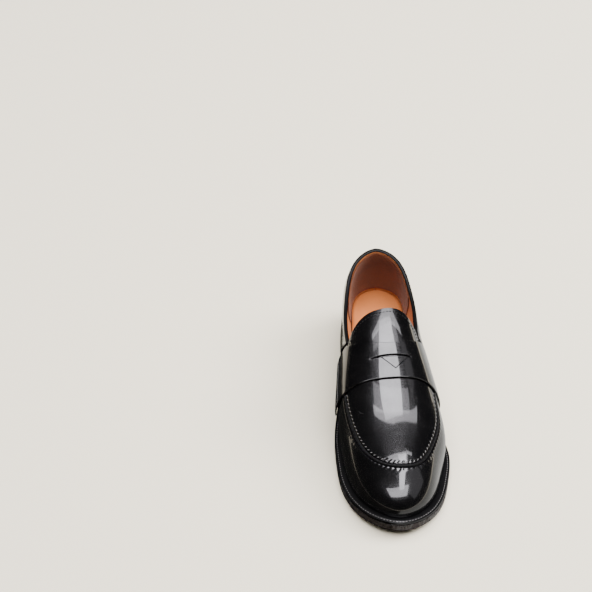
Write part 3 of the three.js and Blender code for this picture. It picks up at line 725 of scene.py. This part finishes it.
# %% The seam's length and its puckers
STITCH_PITCH = 4.2
APART_STEP = 0.01
walk = np.linspace(0, VAMP_END, 400)
seam_length = {}
for sign in (-1, 1):
    path = on_last(sign, walk, seam_up(walk), UPPER)
    seam_length[sign] = np.r_[0, np.cumsum(np.linalg.norm(np.diff(path, axis=0), axis=1))]


def pucker(side, along):
    """1 between two stitches and 0 at a stitch."""
    run = by_side(side, lambda s: (np.interp(along, walk, seam_length[s]),))[0]
    return 0.5 - 0.5 * np.cos(2 * np.pi * run / STITCH_PITCH)


def mm_apart(side, along, up, other):
    """The length over the surface from up to other, about, in millimetres."""
    high, low = (bare_last(side, along, np.clip(up + d, 0, 1))[0] for d in (APART_STEP, -APART_STEP))
    return (up - other) * np.linalg.norm(high - low, axis=-1) / (2 * APART_STEP)


print("seam:", round(seam_length[-1][-1]), "and", round(seam_length[1][-1]), "mm")

# %% [markdown]
# ## The vamp and the quarters
# The vamp wraps the toe from one side to the other, up to the seam of the apron. A quarter covers each
# side of the heel, from under the strap to the back. Both start on the welt. Towards the topline the
# layers are pared thin, so that the rim of the shoe is slim.

# %% Vamp
SEAM_HALF = 0.5


def vamp_spot(s, t):
    """The vamp swells between stitches, and its edge tucks under the seam."""
    side, along = round_toe(s, VAMP_END)
    top = up_moved(side, along, seam_up(along), -SEAM_HALF)
    up = top * t
    below = mm_apart(side, along, top, up)
    gather = np.exp(-((below - 2.2) / 1.8) ** 2) * (0.2 + 0.3 * pucker(side, along))
    tuck = -0.9 * np.exp(-(below / 1.1) ** 2)
    return on_last(side, along, up, UPPER + gather + tuck)


vamp = to_object("vamp_leather", drape(420, 46, vamp_spot), polished, ["vamp"])
thicken(vamp, UPPER_THICK)

# %% Quarters
RIM_PULL = 1.7
RIM_DEPTH = 16
SIDES = ((-1, "lateral"), (1, "medial"))


def pared(side, along, up, distance):
    """The distance of a layer, which is pulled in towards the topline."""
    below = mm_apart(side, along, quarter_top(side, along), up)
    behind = smooth((along - JUNCTION) / 0.03)
    return distance - RIM_PULL * smooth(1 - below / RIM_DEPTH) * behind * distance / OVERLAY


def quarter_spot(sign):
    def spot(s, t):
        run = s if sign > 0 else 1 - s
        along = mix(VAMP_END + 0.001, 1 - 0.0006, run)
        side = np.full(s.shape, float(sign))
        up = quarter_top(side, along) * t
        return on_last(side, along, up, pared(side, along, up, UPPER))
    return spot


for sign, side_name in SIDES:
    quarter = to_object(f"quarter_leather_{side_name}", drape(110, 34, quarter_spot(sign)),
                        polished, [f"quarter_{side_name}"])
    thicken(quarter, UPPER_THICK)

# %% [markdown]
# ## The apron and its tongue
# The apron is the flat piece over the toes. Behind the strap the same piece goes on as the tongue. Both
# sides are draped from the edge to the ridge and then sewn along it by merging their doubles.

# %% The apron's shape
def apron_place(side, run, t, distance, rim):
    """run 0..1 is the apron up to the junction, and 1..2 is the tongue's rounded end."""
    along = np.minimum(run, 1) * JUNCTION
    edge = up_moved(side, along, seam_up(along), rim)
    turn = np.clip(run - 1, 0, 1) * np.pi / 2
    tongue_edge = 1 - (1 - edge) * np.cos(turn)
    up = mix(tongue_edge, 1, t)
    base_y = bare_last(side, np.full(up.shape, JUNCTION), up)[0][..., 1]
    y = mix(base_y, place_y(TONGUE_TOP), np.sin(turn))
    along = np.where(run > 1, along_at_place(side, up, y), along)
    above = mm_apart(side, along, up, edge)
    sewn = smooth((VAMP_END - along) / 0.03)
    gather = np.exp(-((above - 2.4) / 1.6) ** 2) * 0.25 * pucker(side, along)
    tuck = np.exp(-(above / 1.3) ** 2) * 0.9 - gather
    return on_last(side, along, up, distance - tuck * sewn)


def two_halves(columns, rows, spot_of):
    """Drapes the lateral and the medial half, and joins them where they touch."""
    whole = bmesh.new()
    for sign in (-1, 1):
        half = drape(columns, rows, spot_of(sign))
        sewn = bpy.data.meshes.new("half")
        half.to_mesh(sewn)
        half.free()
        whole.from_mesh(sewn)
        bpy.data.meshes.remove(sewn)
    bmesh.ops.remove_doubles(whole, verts=whole.verts, dist=3 * MERGE)
    return whole


print("tongue's end from the toe tip:", TONGUE_TOP * LENGTH, "mm")

# %% Apron, tongue and their lining
LINING_GAP = 0.15
TONGUE_LINING_THICK = 1.8


def apron_half(distance, rim=SEAM_HALF):
    def spot_of(sign):
        def spot(s, t):
            run = 2 * (s if sign > 0 else 1 - s)
            return apron_place(np.full(s.shape, float(sign)), run, t, distance, rim)
        return spot
    return spot_of


apron = to_object("apron_and_tongue", two_halves(300, 40, apron_half(UPPER)),
                  polished, ["apron"])
thicken(apron, UPPER_THICK, even=False)
under_apron = two_halves(110, 24, apron_half(UPPER - UPPER_THICK - LINING_GAP, 1.0))
tongue_lining = to_object("apron_lining_calf", under_apron, lining_tan, ["apron_lining"])
thicken(tongue_lining, TONGUE_LINING_THICK, even=False)

# %% [markdown]
# ## The saddle strap
# A wide strap crosses the instep and is sewn down low on each side. A slit with an arched edge opens in
# its middle, and a V is scored under it. The strap stands a little off the apron, so that its front
# edge throws a dark line.

# %% Sizes of the slit
SLIT_WIDTH = 50.0
SLIT_OPENING = 1.7
SLIT_AT = 0.6
SLIT_ARCH = 0.075
strap_width = (STRAP_REAR - STRAP_FRONT) * LENGTH
strap_middle_y = place_y((STRAP_FRONT + STRAP_REAR) / 2)
strap_across = along_at_place(np.array(-1.0), np.array(1.0), np.array(strap_middle_y))
slit_end_up = up_moved(np.array(-1.0), strap_across, np.array(1.0), -SLIT_WIDTH / 2)
slit_q = float(1 - slit_end_up) / (1 - STRAP_END_UP)
print("strap:", round(strap_width, 1), "mm wide; slit ends at", round(slit_q, 3), "of the half")

# %% The strap's edges
CORNER_GAP = 0.3


def strap_front_y(up):
    return place_y(STRAP_FRONT) - STRAP_FLARE * ((1 - up) / (1 - STRAP_END_UP)) ** 2


def strap_rear_y(side, up):
    """The rear edge runs down to the corner where the tongue meets the topline."""
    def corner_y(s):
        return (bare_last(s, JUNCTION, seam_up(JUNCTION))[0][..., 1] - CORNER_GAP,)
    corner = by_side(side, corner_y)[0]
    t = np.clip((1 - up) / (1 - seam_up(JUNCTION)), 0, 1)
    return mix(place_y(STRAP_REAR), corner, t * t)


def strap_place(q, r, distance):
    """q is -1 at the lateral end, 1 at the medial end. r is 0 at the front edge, 1 at the rear."""
    side = np.where(q < 0, -1.0, 1.0)
    up = mix(1, STRAP_END_UP, np.abs(q))
    y = mix(strap_front_y(up), strap_rear_y(side, up), r)
    return on_last(side, along_at_place(side, up, y), up, distance)


print("front edge in the middle:", float(strap_front_y(1)), "mm")

# %% The slit and the lift
STRAP_LIFT = 0.9
CORNER_CURL = 1.3


def slit_line(q, half):
    """The front (half -1) or rear (half 1) lip of the slit, which is one line outside the slit."""
    inside = np.clip(1 - (q / slit_q) ** 2, 0, 1)
    gape = half * SLIT_OPENING / strap_width / 2 * np.sqrt(inside)
    return SLIT_AT + SLIT_ARCH * (inside - 0.5) + gape


def strap_lift(q, r):
    """The strap's middle stands off the apron, and its front corners curl up a little."""
    middle = smooth(1.3 - np.abs(q) / 0.55)
    curl = smooth((np.abs(q) - 0.8) / 0.2) * smooth(1 - r / 0.5)
    return STRAP_LIFT * (0.35 + 0.65 * middle) + CORNER_CURL * curl * np.where(q > 0, 1, 0.3)


print("lift in the middle:", float(strap_lift(0.0, 0.5)), "mm")

# %% Strap
SCORE_TIP = 0.25


def strap_half(half):
    def spot(s, t):
        q = 2 * s - 1
        line = slit_line(q, half)
        r = mix(0, line, t) if half < 0 else mix(line, 1, t)
        return strap_place(q, r, OVERLAY + strap_lift(q, r))
    return spot


score = strap_place(np.array([slit_q, 0.0]), np.array([SLIT_AT, SCORE_TIP]), OVERLAY) * MM
strap_black = black_leather("polished black calf with a scored V", 0.2, 0.9, 1.0, 1.0, score)
strap = to_object("saddle_strap_leather", two_halves(170, 22, strap_half),
                  strap_black, ["saddle_strap"])
thicken(strap, UPPER_THICK)

# %% [markdown]
# ## What lies on the quarters
# A band runs round the collar, a strip covers the seam at the back, and a thin bead binds the rim. The
# bead could be a curve with a round section, but a draped tube follows the topline without a twist.

# %% Collar band and back strip
COLLAR_START = JUNCTION + 0.015
BAND_WIDTH = 11.0
STRIP_SHARE = 9.0 / EDGE_LENGTH
STRIP_GAP = 0.3


def band_low(side, along):
    return up_moved(side, along, topline(side, along), -BAND_WIDTH)


def band_spot(s, t):
    side, along = round_heel(s, COLLAR_START)
    up = mix(band_low(side, along), topline(side, along), t)
    return on_last(side, along, up, pared(side, along, up, OVERLAY))


def strip_spot(s, t):
    side, along = round_heel(s, 1 - STRIP_SHARE)
    up = up_moved(side, along, band_low(side, along), -STRIP_GAP) * t
    return on_last(side, along, up, pared(side, along, up, OVERLAY))


band = to_object("collar_band_leather", drape(220, 8, band_spot), polished, ["collar_band"])
thicken(band, OVERLAY_THICK)
strip = to_object("back_strip_leather", drape(12, 40, strip_spot), polished, ["back_strip"])
thicken(strip, OVERLAY_THICK)

# %% Bead
BEAD_HALF = 1.9
BEAD_RISE = 0.55
BEAD_TALL = 1.05


def bead_spot(s, t):
    side, along = round_heel(s, COLLAR_START)
    turn = 2 * np.pi * t
    up = up_moved(side, along, topline(side, along), BEAD_RISE + BEAD_TALL * np.sin(turn))
    return on_last(side, along, up, BEAD_HALF + 0.1 - BEAD_HALF * np.cos(turn))


bead_bm = drape(220, 12, bead_spot)
bmesh.ops.holes_fill(bead_bm, edges=bead_bm.edges, sides=16)
bmesh.ops.recalc_face_normals(bead_bm, faces=bead_bm.faces)
to_object("topline_bead", bead_bm, satin_black, ["topline_binding"])

# %% [markdown]
# ## The ridge of the apron seam
# Between the two tucked edges runs a low ridge of leather, gathered at every stitch. It is a narrow
# grid along the seam, raised in the middle, and it ends just in front of the strap.

# %% Ridge
RIDGE_HALF = 1.25
RIDGE_SUNK = 0.55
RIDGE_WALL = 0.6
RIDGE_END_UP = 0.4
before_strap = np.array(strap_front_y(RIDGE_END_UP) - 1.0)
ridge_end = float(along_at_place(np.array(-1.0), np.array(RIDGE_END_UP), before_strap))


def ridge_spot(s, t):
    side, along = round_toe(s, ridge_end)
    across = 2 * t - 1
    up = up_moved(side, along, seam_up(along), across * RIDGE_HALF)
    crest = np.sqrt(np.clip(1 - across ** 2, 0, 1)) * (1.15 + 0.35 * pucker(side, along))
    return on_last(side, along, up, UPPER - RIDGE_SUNK + crest)


ridge = to_object("moc_seam_leather", drape(640, 8, ridge_spot),
                  satin_black, ["moc_seam_ridge"])
thicken(ridge, RIDGE_WALL, 0)

# %% [markdown]
# ## Inside the shoe
# Tan lining covers the quarters, a darker suede grip holds the heel, and the sock covers the insole.
# The linings lie on the same last as the outside, only closer to it.

# %% Quarter linings
LINING_UNDER_VAMP = 0.06


def lining_spot(sign):
    def spot(s, t):
        run = s if sign > 0 else 1 - s
        along = mix(VAMP_END - LINING_UNDER_VAMP, 1, run)
        side = np.full(s.shape, float(sign))
        return on_last(side, along, quarter_top(side, along) * t, LINING)
    return spot


for sign, side_name in SIDES:
    inner = to_object(f"quarter_lining_calf_{side_name}", drape(90, 30, lining_spot(sign)),
                      lining_tan, [f"quarter_lining_{side_name}"])
    thicken(inner, LINING)

# %% Heel grip
GRIP_START = 0.775
GRIP_LIFT = 9.0
GRIP_DROP = 1.2
GRIP_DEPTH = 0.3
GRIP_THICK = 0.9


def grip_spot(s, t):
    side, along = round_heel(s, GRIP_START)
    low = up_moved(side, along, np.zeros(s.shape), GRIP_LIFT)
    high = up_moved(side, along, topline(side, along), -GRIP_DROP)
    return on_last(side, along, mix(low, high, t), -GRIP_DEPTH)


grip_piece = to_object("heel_grip_suede", drape(120, 30, grip_spot), grip_suede, ["heel_grip"])
thicken(grip_piece, GRIP_THICK)

# %% [markdown]
# ## Flat layers
# The sock, the outsole and the lifts are flat pieces with an outline. Each starts as a level grid whose
# corners are moved onto its outline, and one extrusion gives its other face.

# %% A slab with an outline
def block(columns, rows, outline, low, high):
    """A slab between two heights, over a grid that runs from the toe to the heel."""
    bm = bmesh.new()
    bmesh.ops.create_grid(bm, x_segments=columns, y_segments=rows, size=0.5)
    st = np.array([v.co[:2] for v in bm.verts]) + 0.5
    x, y = outline(st[:, 0], st[:, 1])
    bottom = list(bm.verts)
    raised = bmesh.ops.extrude_face_region(bm, geom=bm.faces[:])["geom"]
    top = [g for g in raised if isinstance(g, bmesh.types.BMVert)]
    lookup = {tuple(round(c, 6) for c in v.co[:2]): i for i, v in enumerate(bottom)}
    ordered = [lookup[tuple(round(c, 6) for c in v.co[:2])] for v in top]
    for i, vert in enumerate(bottom):
        vert.co = np.array([x[i], y[i], low(y[i])]) * MM
    for i, vert in zip(ordered, top):
        vert.co = np.array([x[i], y[i], high(y[i])]) * MM
    bmesh.ops.remove_doubles(bm, verts=bm.verts, dist=2 * MERGE)
    bmesh.ops.dissolve_degenerate(bm, edges=bm.edges, dist=TOO_SMALL)
    bmesh.ops.recalc_face_normals(bm, faces=bm.faces)
    return bm


def across_sole(start, end, inset):
    """An outline that lies inset from the edge of the sole."""
    def outline(s, t):
        along = mix(start, end, 0.5 - 0.5 * np.cos(np.pi * s))
        ax, ay = edge_point(-1, along, -inset(along))
        bx, by = edge_point(1, along, -inset(along))
        return mix(bx, ax, t) + SHIFT[0], mix(by, ay, t) + SHIFT[1]
    return outline


toe_tip = across_sole(0, 1, lambda along: 0)(0.0, 0.5)
print("toe tip of the sole:", [round(float(c), 1) for c in toe_tip], "mm")

# %% Worn edges and heights over the floor
def round_edges(piece, width, segments=3):
    bevel = piece.modifiers.new("worn edges", "BEVEL")
    bevel.width = width * MM
    bevel.segments = segments
    bevel.limit_method = "ANGLE"
    bevel.angle_limit = math.radians(45)


def above_sole(height):
    return lambda y: sole_z(y - SHIFT[1]) + height


print("the sole's top at the heel:", float(above_sole(OUTSOLE_THICK)(LENGTH / 2)), "mm")

# %% Sock
SOCK_THICK = 1.2
SOCK_UNDER_LINING = 1.6
CUSHION_BEFORE = 30
CUSHION_RUN = 26
sock_y = min(edge_point(s, GRIP_START, 0)[1] for s in (-1, 1)) + SHIFT[1]


def sock_high(y):
    """The sock lies level and rises over the cushion under the heel."""
    rise = CUSHION_RISE * smooth((y - sock_y + CUSHION_BEFORE) / CUSHION_RUN)
    return sole_z(y - SHIFT[1]) + SOCK_TOP + rise


sock_outline = across_sole(0, 1, lambda along: WELT_LEDGE + UPPER + flush(along) - SOCK_UNDER_LINING)
sock_block = block(120, 16, sock_outline, lambda y: sock_high(y) - SOCK_THICK, sock_high)
to_object("sock_leather", sock_block, sock_tan, ["sock_liner"])

# %% Outsole
sole_outline = across_sole(0, 1, lambda along: 0)
sole_block = block(240, 8, sole_outline, above_sole(0), above_sole(OUTSOLE_THICK))
outsole = to_object("leather_outsole", sole_block, sole_dark, ["outsole"])
round_edges(outsole, 0.9)

# %% [markdown]
# ## The stacked heel
# Three lifts of leather make the heel over a rubber top piece. Each is a slab of its own, so the lines
# between them are real gaps.

# %% Heel
LIFT_COUNT = 3
LIFT_BOTTOM = 6.3
LIFT_PITCH = (HEEL_HEIGHT - LIFT_BOTTOM) / LIFT_COUNT
heel_from = {s: float(np.interp(LENGTH / 2 - HEEL_LENGTH, edges[s][2], edges[s][0])) for s in (-1, 1)}


def heel_outline(s, t):
    run = 1 - (1 - s) ** 1.6
    ax, ay = edge_point(-1, mix(heel_from[-1], 1, run), 0)
    bx, by = edge_point(1, mix(heel_from[1], 1, run), 0)
    return mix(bx, ax, t) + SHIFT[0], mix(by, ay, t) + SHIFT[1]


for n in range(LIFT_COUNT):
    low = LIFT_BOTTOM - 0.25 + n * LIFT_PITCH
    high = above_sole(-0.05) if n == LIFT_COUNT - 1 else (lambda y, z=low + LIFT_PITCH - 0.1: z)
    lift_block = block(90, 6, heel_outline, lambda y, z=low: z, high)
    lift = to_object(f"heel_lift_leather_{n + 1}", lift_block, lift_dark, [f"heel_lift_{n + 1}"])
    round_edges(lift, 0.3, 2)

# %% [markdown]
# ## The welt
# The welt is a strip of leather round the sole. Its outer edge is rounded, and a groove near the edge
# holds the stitches. Its cross-section is a closed line, swept along the edge of the outsole.

# %% Welt and rand
WELT_SECTION = [
    (-14, 9.5), (-6.5, 9.5), (-4.0, 9.45), (-2.9, 9.4), (-2.55, 8.95), (-2.05, 8.95), (-1.7, 9.45),
    (-1.0, 9.6), (-0.4, 9.4), (-0.1, 8.9), (0.0, 8.2), (-0.1, 7.2), (-0.5, 6.75), (-1.2, 6.3),
    (-14, 6.3),
]


def welt_spot(round_end, reach):
    """Sweeps the closed section along the edge of the sole."""
    section = np.array(WELT_SECTION + WELT_SECTION[:1])

    def spot(s, t):
        side, along = round_end(s, reach)
        at = t * (len(section) - 1)
        outward, height = (np.interp(at, np.arange(len(section)), section[:, k]) for k in (0, 1))
        x, y = edge_point(side, along, outward)
        return np.stack([x, y, sole_z(y) + height], -1) + SHIFT
    return spot


for name, node, slot, reach, round_end, columns in (
    ("welt_leather", "welt", "welt", RAND_START, round_toe, 380),
    ("heel_rand_leather", "heel_rand", "sole", RAND_START, round_heel, 200),
):
    ring = drape(columns, len(WELT_SECTION), welt_spot(round_end, reach))
    bmesh.ops.holes_fill(ring, edges=ring.edges, sides=20)
    bmesh.ops.recalc_face_normals(ring, faces=ring.faces)
    strip_of_welt = to_object(name, ring, welt_black, [node])
    softer = strip_of_welt.modifiers.new("soft edges", "SUBSURF")
    softer.levels = softer.render_levels = 1

# %% [markdown]
# ## Stitches
# A stitch is a small bead of thread. A row of them follows a line on the surface, spaced evenly, each
# turned along the line and tipped by a slant. A bead has few faces, because there are hundreds.

# %% A row of stitches
SUNK = 0.25
LINE_SAMPLES = 600
AHEAD = 1e-3


def stitch_row(name, line, pitch, size, slant, material):
    """line(u, rise) gives points in millimetres for u from 0 to 1, raised off the surface."""
    u = np.linspace(0, 1, LINE_SAMPLES)
    run = np.r_[0, np.cumsum(np.linalg.norm(np.diff(line(u, 0), axis=0), axis=1))]
    count = max(int(run[-1] / pitch), 1)
    centres = np.interp((np.arange(count) + 0.5) / count * run[-1], run, u)
    base = line(centres, size[2] * (0.5 - SUNK))
    ahead = line(np.clip(centres + AHEAD, 0, 1), 0) - line(np.clip(centres - AHEAD, 0, 1), 0)
    normal = line(centres, 1) - line(centres, 0)
    bm = bmesh.new()
    for place, along, up in zip(base, ahead, normal):
        up = Vector(up).normalized()
        along = Vector(along).normalized()
        along.rotate(Matrix.Rotation(slant, 3, up))
        turn = Matrix((along, up.cross(along), up)).transposed().to_4x4()
        shape = Matrix.Diagonal((*(s / 2 * MM for s in size), 1))
        matrix = Matrix.Translation(Vector(place) * MM) @ turn @ shape
        bmesh.ops.create_uvsphere(bm, u_segments=6, v_segments=4, radius=1, matrix=matrix)
    return to_object(name, bm, material)


print("a stitch is sunk by", SUNK, "of its height")

# %% Stitches of the apron seam
def seam_line(offset, reach):
    def line(u, rise):
        side, along = round_toe(u, reach)
        up = up_moved(side, along, seam_up(along), offset)
        return on_last(side, along, up, UPPER + rise)
    return line


stitch_row("apron_inner_stitches", seam_line(2.9, ridge_end), STITCH_PITCH, (2.5, 0.75, 0.6), 0.7,
           thread_painted_grey_for_glints)
stitch_row("apron_outer_stitches", seam_line(-3.2, ridge_end), STITCH_PITCH, (1.9, 0.55, 0.35), 1.35,
           black_thread)

# %% Stitches of the tongue
TONGUE_ROW_BACK = 3.6
TONGUE_ROW_IN = 2.6


def tongue_line(u, rise):
    """Follows the tongue's rounded end, a little inside it."""
    side, away = round_toe(u, 1)
    turn = (1 - away) * np.pi / 2
    end = 1 - (1 - seam_up(JUNCTION)) * np.cos(turn)
    base_y = bare_last(side, JUNCTION, end)[0][..., 1]
    y = mix(base_y, place_y(TONGUE_TOP), np.sin(turn)) - TONGUE_ROW_BACK
    up = up_moved(side, JUNCTION, end, TONGUE_ROW_IN)
    return on_last(side, along_at_place(side, up, y), up, UPPER + rise)


stitch_row("tongue_stitches", tongue_line, 3.1, (2.1, 0.95, 0.7), 0.0, black_thread)

# %% Stitches of the collar
COLLAR_STITCH = (1.7, 0.55, 0.4)
COLLAR_PITCH = 2.6


def collar_line(offset):
    def line(u, rise):
        side, along = round_heel(u, COLLAR_START)
        up = up_moved(side, along, topline(side, along), offset)
        return on_last(side, along, up, pared(side, along, up, OVERLAY) + rise)
    return line


for name, offset in (("low", -BAND_WIDTH + 1.6), ("high", -2.6)):
    stitch_row(f"collar_stitches_{name}", collar_line(offset), COLLAR_PITCH, COLLAR_STITCH, 0.0,
               black_thread)

# %% Stitched boxes on the ends of the strap
BOX_STITCH = (1.6, 0.5, 0.4)
BOX_PITCH = 2.4


def box_line(sign, inner):
    """A stitched box at an end of the strap: inner is its inset from the outer row."""
    corners = np.array([(0.99, 0.04), (0.99, 0.96), (0.84, 0.96), (0.84, 0.04), (0.99, 0.04)])
    middle = corners[:4].mean(0)
    corners = middle + (corners - middle) * (1 - inner)

    def line(u, rise):
        q, r = (np.interp(u * 4, np.arange(5), corners[:, k]) for k in (0, 1))
        q = sign * (q - 0.012)
        return strap_place(q, r, OVERLAY + strap_lift(q, r) + rise)
    return line


for sign, side_name in SIDES:
    for inner in (0.0, 0.2):
        stitch_row(f"strap_box_{side_name}_{int(inner * 10)}", box_line(sign, inner), BOX_PITCH,
                   BOX_STITCH, 0.0, thread_painted_grey_for_glints)

# %% Stitches of the welt
def welt_line(u, rise):
    side, along = round_toe(u, RAND_START)
    x, y = edge_point(side, along, -2.3)
    return np.stack([x, y, sole_z(y) + 9.0 + rise], -1) + SHIFT


stitch_row("welt_stitches", welt_line, 2.9, (2.2, 0.7, 0.6), 0.0, thread_painted_grey_for_glints)

# %% [markdown]
# ## Finishes of the hidden layers
# The nodes that stay as packed get finishes too: cork, fibre boards, foam, steel and stiff cloth. Their
# shapes are left alone, and only their materials change.

# %% Hidden layers
def plain_finish(name, colour_a, colour_b, scale, roughness, metallic=0.0):
    finish = Finish(name, Metallic=metallic)
    specks = finish.noise(scale, 4, 0.65)
    return finish.shade(**{
        "Base Color": finish.blend(specks, colour_a, colour_b),
        "Roughness": specks * 0.15 + roughness,
        "Normal": finish.bump(specks, 0.0001, 0.6),
    })


by_slot = {
    "cork": plain_finish("granulated cork", (0.12, 0.06, 0.025), (0.36, 0.21, 0.1), 500, 0.8),
    "fibre": plain_finish("fibre board", (0.2, 0.13, 0.08), (0.3, 0.2, 0.13), 300, 0.75),
    "foam": plain_finish("latex foam", (0.5, 0.4, 0.24), (0.6, 0.5, 0.32), 700, 0.85),
    "stiffener": plain_finish("stiffened cloth", (0.6, 0.55, 0.46), (0.7, 0.66, 0.58), 900, 0.8),
    "steel": nail_steel,
    "rubber": rubber,
    "lining": lining_tan,
}
slots = {entry["node"]: entry["material_slot"] for entry in frame["record"]["subparts"]}
for name, node in frame["nodes"].items():
    finish = by_slot.get(slots[name])
    if finish:
        node.data.materials.clear()
        node.data.materials.append(finish)
print("finishes on packed nodes:", ", ".join(by_slot))

# %% [markdown]
# ## The studio
# The shoe stands on a pale floor that runs on into the background, whitened by two wide soft lights.
# What makes black leather readable is what it reflects. So the softboxes that give it its bright bands
# are seen in reflections only, and two dark cards on the floor keep its sides dark.

# %% Floor
PALE = (0.95, 0.88, 0.75)
floor_bm = bmesh.new()
bmesh.ops.create_grid(floor_bm, x_segments=1, y_segments=1, size=6)
floor_mesh = bpy.data.meshes.new("studio_floor")
floor_bm.to_mesh(floor_mesh)
floor_bm.free()
paper = Finish("pale paper", **{"Specular IOR Level": 0.1, "Roughness": 0.9})
floor_mesh.materials.append(paper.shade(**{"Base Color": PALE}))
floor = bpy.data.objects.new("studio_floor", floor_mesh)
collection.objects.link(floor)
print("floor:", paper.material.name)

# %% Lights
def area_light(name, place, aim, size, power, colour, glossy=True, diffuse=True, turn=0.0):
    """A softbox that the camera doesn't see. glossy and diffuse say which surfaces it lights."""
    light = bpy.data.lights.new(name, "AREA")
    light.shape = "RECTANGLE"
    light.size, light.size_y = size
    light.energy = power
    light.color = colour
    lamp = bpy.data.objects.new(name, light)
    lamp.location = place
    aimed_at = (Vector(aim) - Vector(place)).to_track_quat("-Z", "Y").to_matrix()
    lamp.rotation_euler = (Matrix.Rotation(turn, 3, "Z") @ aimed_at).to_euler()
    lamp.visible_glossy = glossy
    lamp.visible_diffuse = diffuse
    lamp.visible_camera = False
    collection.objects.link(lamp)


WARM = (1, 0.98, 0.925)
COOL = (0.97, 0.95, 1.0)
SOFTBOXES = (
    ("overhead_strip", (0.0, -0.13, 1.1), (0.26, 0.74), 10.5, 0.0),
    ("toe_box", (-0.15, -0.6, 1.1), (1.1, 0.4), 14, 0.0),
    ("left_bar", (-0.17, 0.2, 1.1), (0.36, 0.08), 0.8, 0.26),
    ("right_bar", (0.27, 0.25, 1.1), (0.56, 0.08), 1.2, 0.04),
    ("bell", (0.0, 0.11, 1.12), (0.6, 0.2), 1.5, 0.12),
)
area_light("ceiling", (0.3, 0, 3.2), (0, 0, 0), (4, 4), 340, WARM, glossy=False)
area_light("key", (3.2, 0.6, 2.6), (0, 0, 0), (2, 2), 225, WARM, glossy=False)
for name, place, size, power, turn in SOFTBOXES:
    area_light(name, place, (*place[:2], 0), size, power, COOL, diffuse=False, turn=turn)
area_light("right_veil", (0.72, -0.35, 1.0), (0, -0.05, 0.05), (0.8, 1.1), 2.2, COOL, diffuse=False)
print("lights:", len(bpy.data.lights))

# %% Cards for the reflections
CARD_HEIGHT = 0.0012


def reflection_card(name, corner, size, brightness):
    """A card on the floor that only reflections see, as a dark board beside the shoe would be."""
    bm = bmesh.new()
    middle = Matrix.Translation((corner[0] + size[0] / 2, corner[1] + size[1] / 2, CARD_HEIGHT))
    spread = middle @ Matrix.Diagonal((*size, 1, 1))
    bmesh.ops.create_grid(bm, x_segments=1, y_segments=1, size=0.5, matrix=spread)
    mesh = bpy.data.meshes.new(name)
    bm.to_mesh(mesh)
    bm.free()
    board = Finish(name, **{"Specular IOR Level": 0.0, "Roughness": 1.0})
    mesh.materials.append(board.shade(**{"Base Color": (brightness,) * 3}))
    card = bpy.data.objects.new(name, mesh)
    card.visible_camera = card.visible_diffuse = card.visible_shadow = False
    collection.objects.link(card)


reflection_card("left_card", (-1.5, -0.6), (1.49, 0.74), 0.015)
reflection_card("right_card", (-0.01, -0.6), (0.5, 2.4), 0.4)
print("cards stand", CARD_HEIGHT / MM, "mm over the floor")

# %% World
world = bpy.data.worlds.new("studio")
bpy.context.scene.world = world
world.use_nodes = True
nodes, links = world.node_tree.nodes, world.node_tree.links
nodes.clear()
out = nodes.new("ShaderNodeOutputWorld")
seen = nodes.new("ShaderNodeBackground")
around = nodes.new("ShaderNodeBackground")
choose = nodes.new("ShaderNodeMixShader")
path = nodes.new("ShaderNodeLightPath")
seen.inputs["Color"].default_value = (0.791, 0.768, 0.722, 1)
around.inputs["Color"].default_value = (0.5, 0.49, 0.5, 1)
around.inputs["Strength"].default_value = 0.06
links.new(path.outputs["Is Camera Ray"], choose.inputs[0])
links.new(around.outputs[0], choose.inputs[1])
links.new(seen.outputs[0], choose.inputs[2])
links.new(choose.outputs[0], out.inputs["Surface"])
print("world nodes:", len(nodes))

# %% [markdown]
# ## The camera
# A long lens looks down at the shoe. The shoe lies to the right and below the middle of the frame, so
# the camera is aimed straight at it and then turned back by the angle at which it should appear.

# %% Camera
LENS = 103.4
SENSOR = 36.0
AZIMUTH = math.radians(-6.2)
ELEVATION = math.radians(45.1)
ROLL = math.radians(1.8)
DISTANCE = 1.58
TARGET = Vector((0, -0.02, 0.045))
SHOWN_AT = (0.158, -0.171)
straight = Matrix.Rotation(AZIMUTH, 3, "Z") @ Matrix.Rotation(math.pi / 2 - ELEVATION, 3, "X")
straight = straight @ Matrix.Rotation(ROLL, 3, "Z")
ray = Vector((SHOWN_AT[0] * SENSOR, SHOWN_AT[1] * SENSOR, -LENS)).normalized()
turn_back = ray.rotation_difference(Vector((0, 0, -1))).to_matrix()
aimed = straight @ turn_back
lens = bpy.data.cameras.new("camera")
lens.lens = LENS
lens.sensor_width = SENSOR
camera = bpy.data.objects.new("camera", lens)
camera.matrix_world = Matrix.Translation(TARGET + straight @ Vector((0, 0, DISTANCE))) @ aimed.to_4x4()
collection.objects.link(camera)
bpy.context.scene.camera = camera
print("camera at", tuple(round(c, 3) for c in camera.matrix_world.translation))
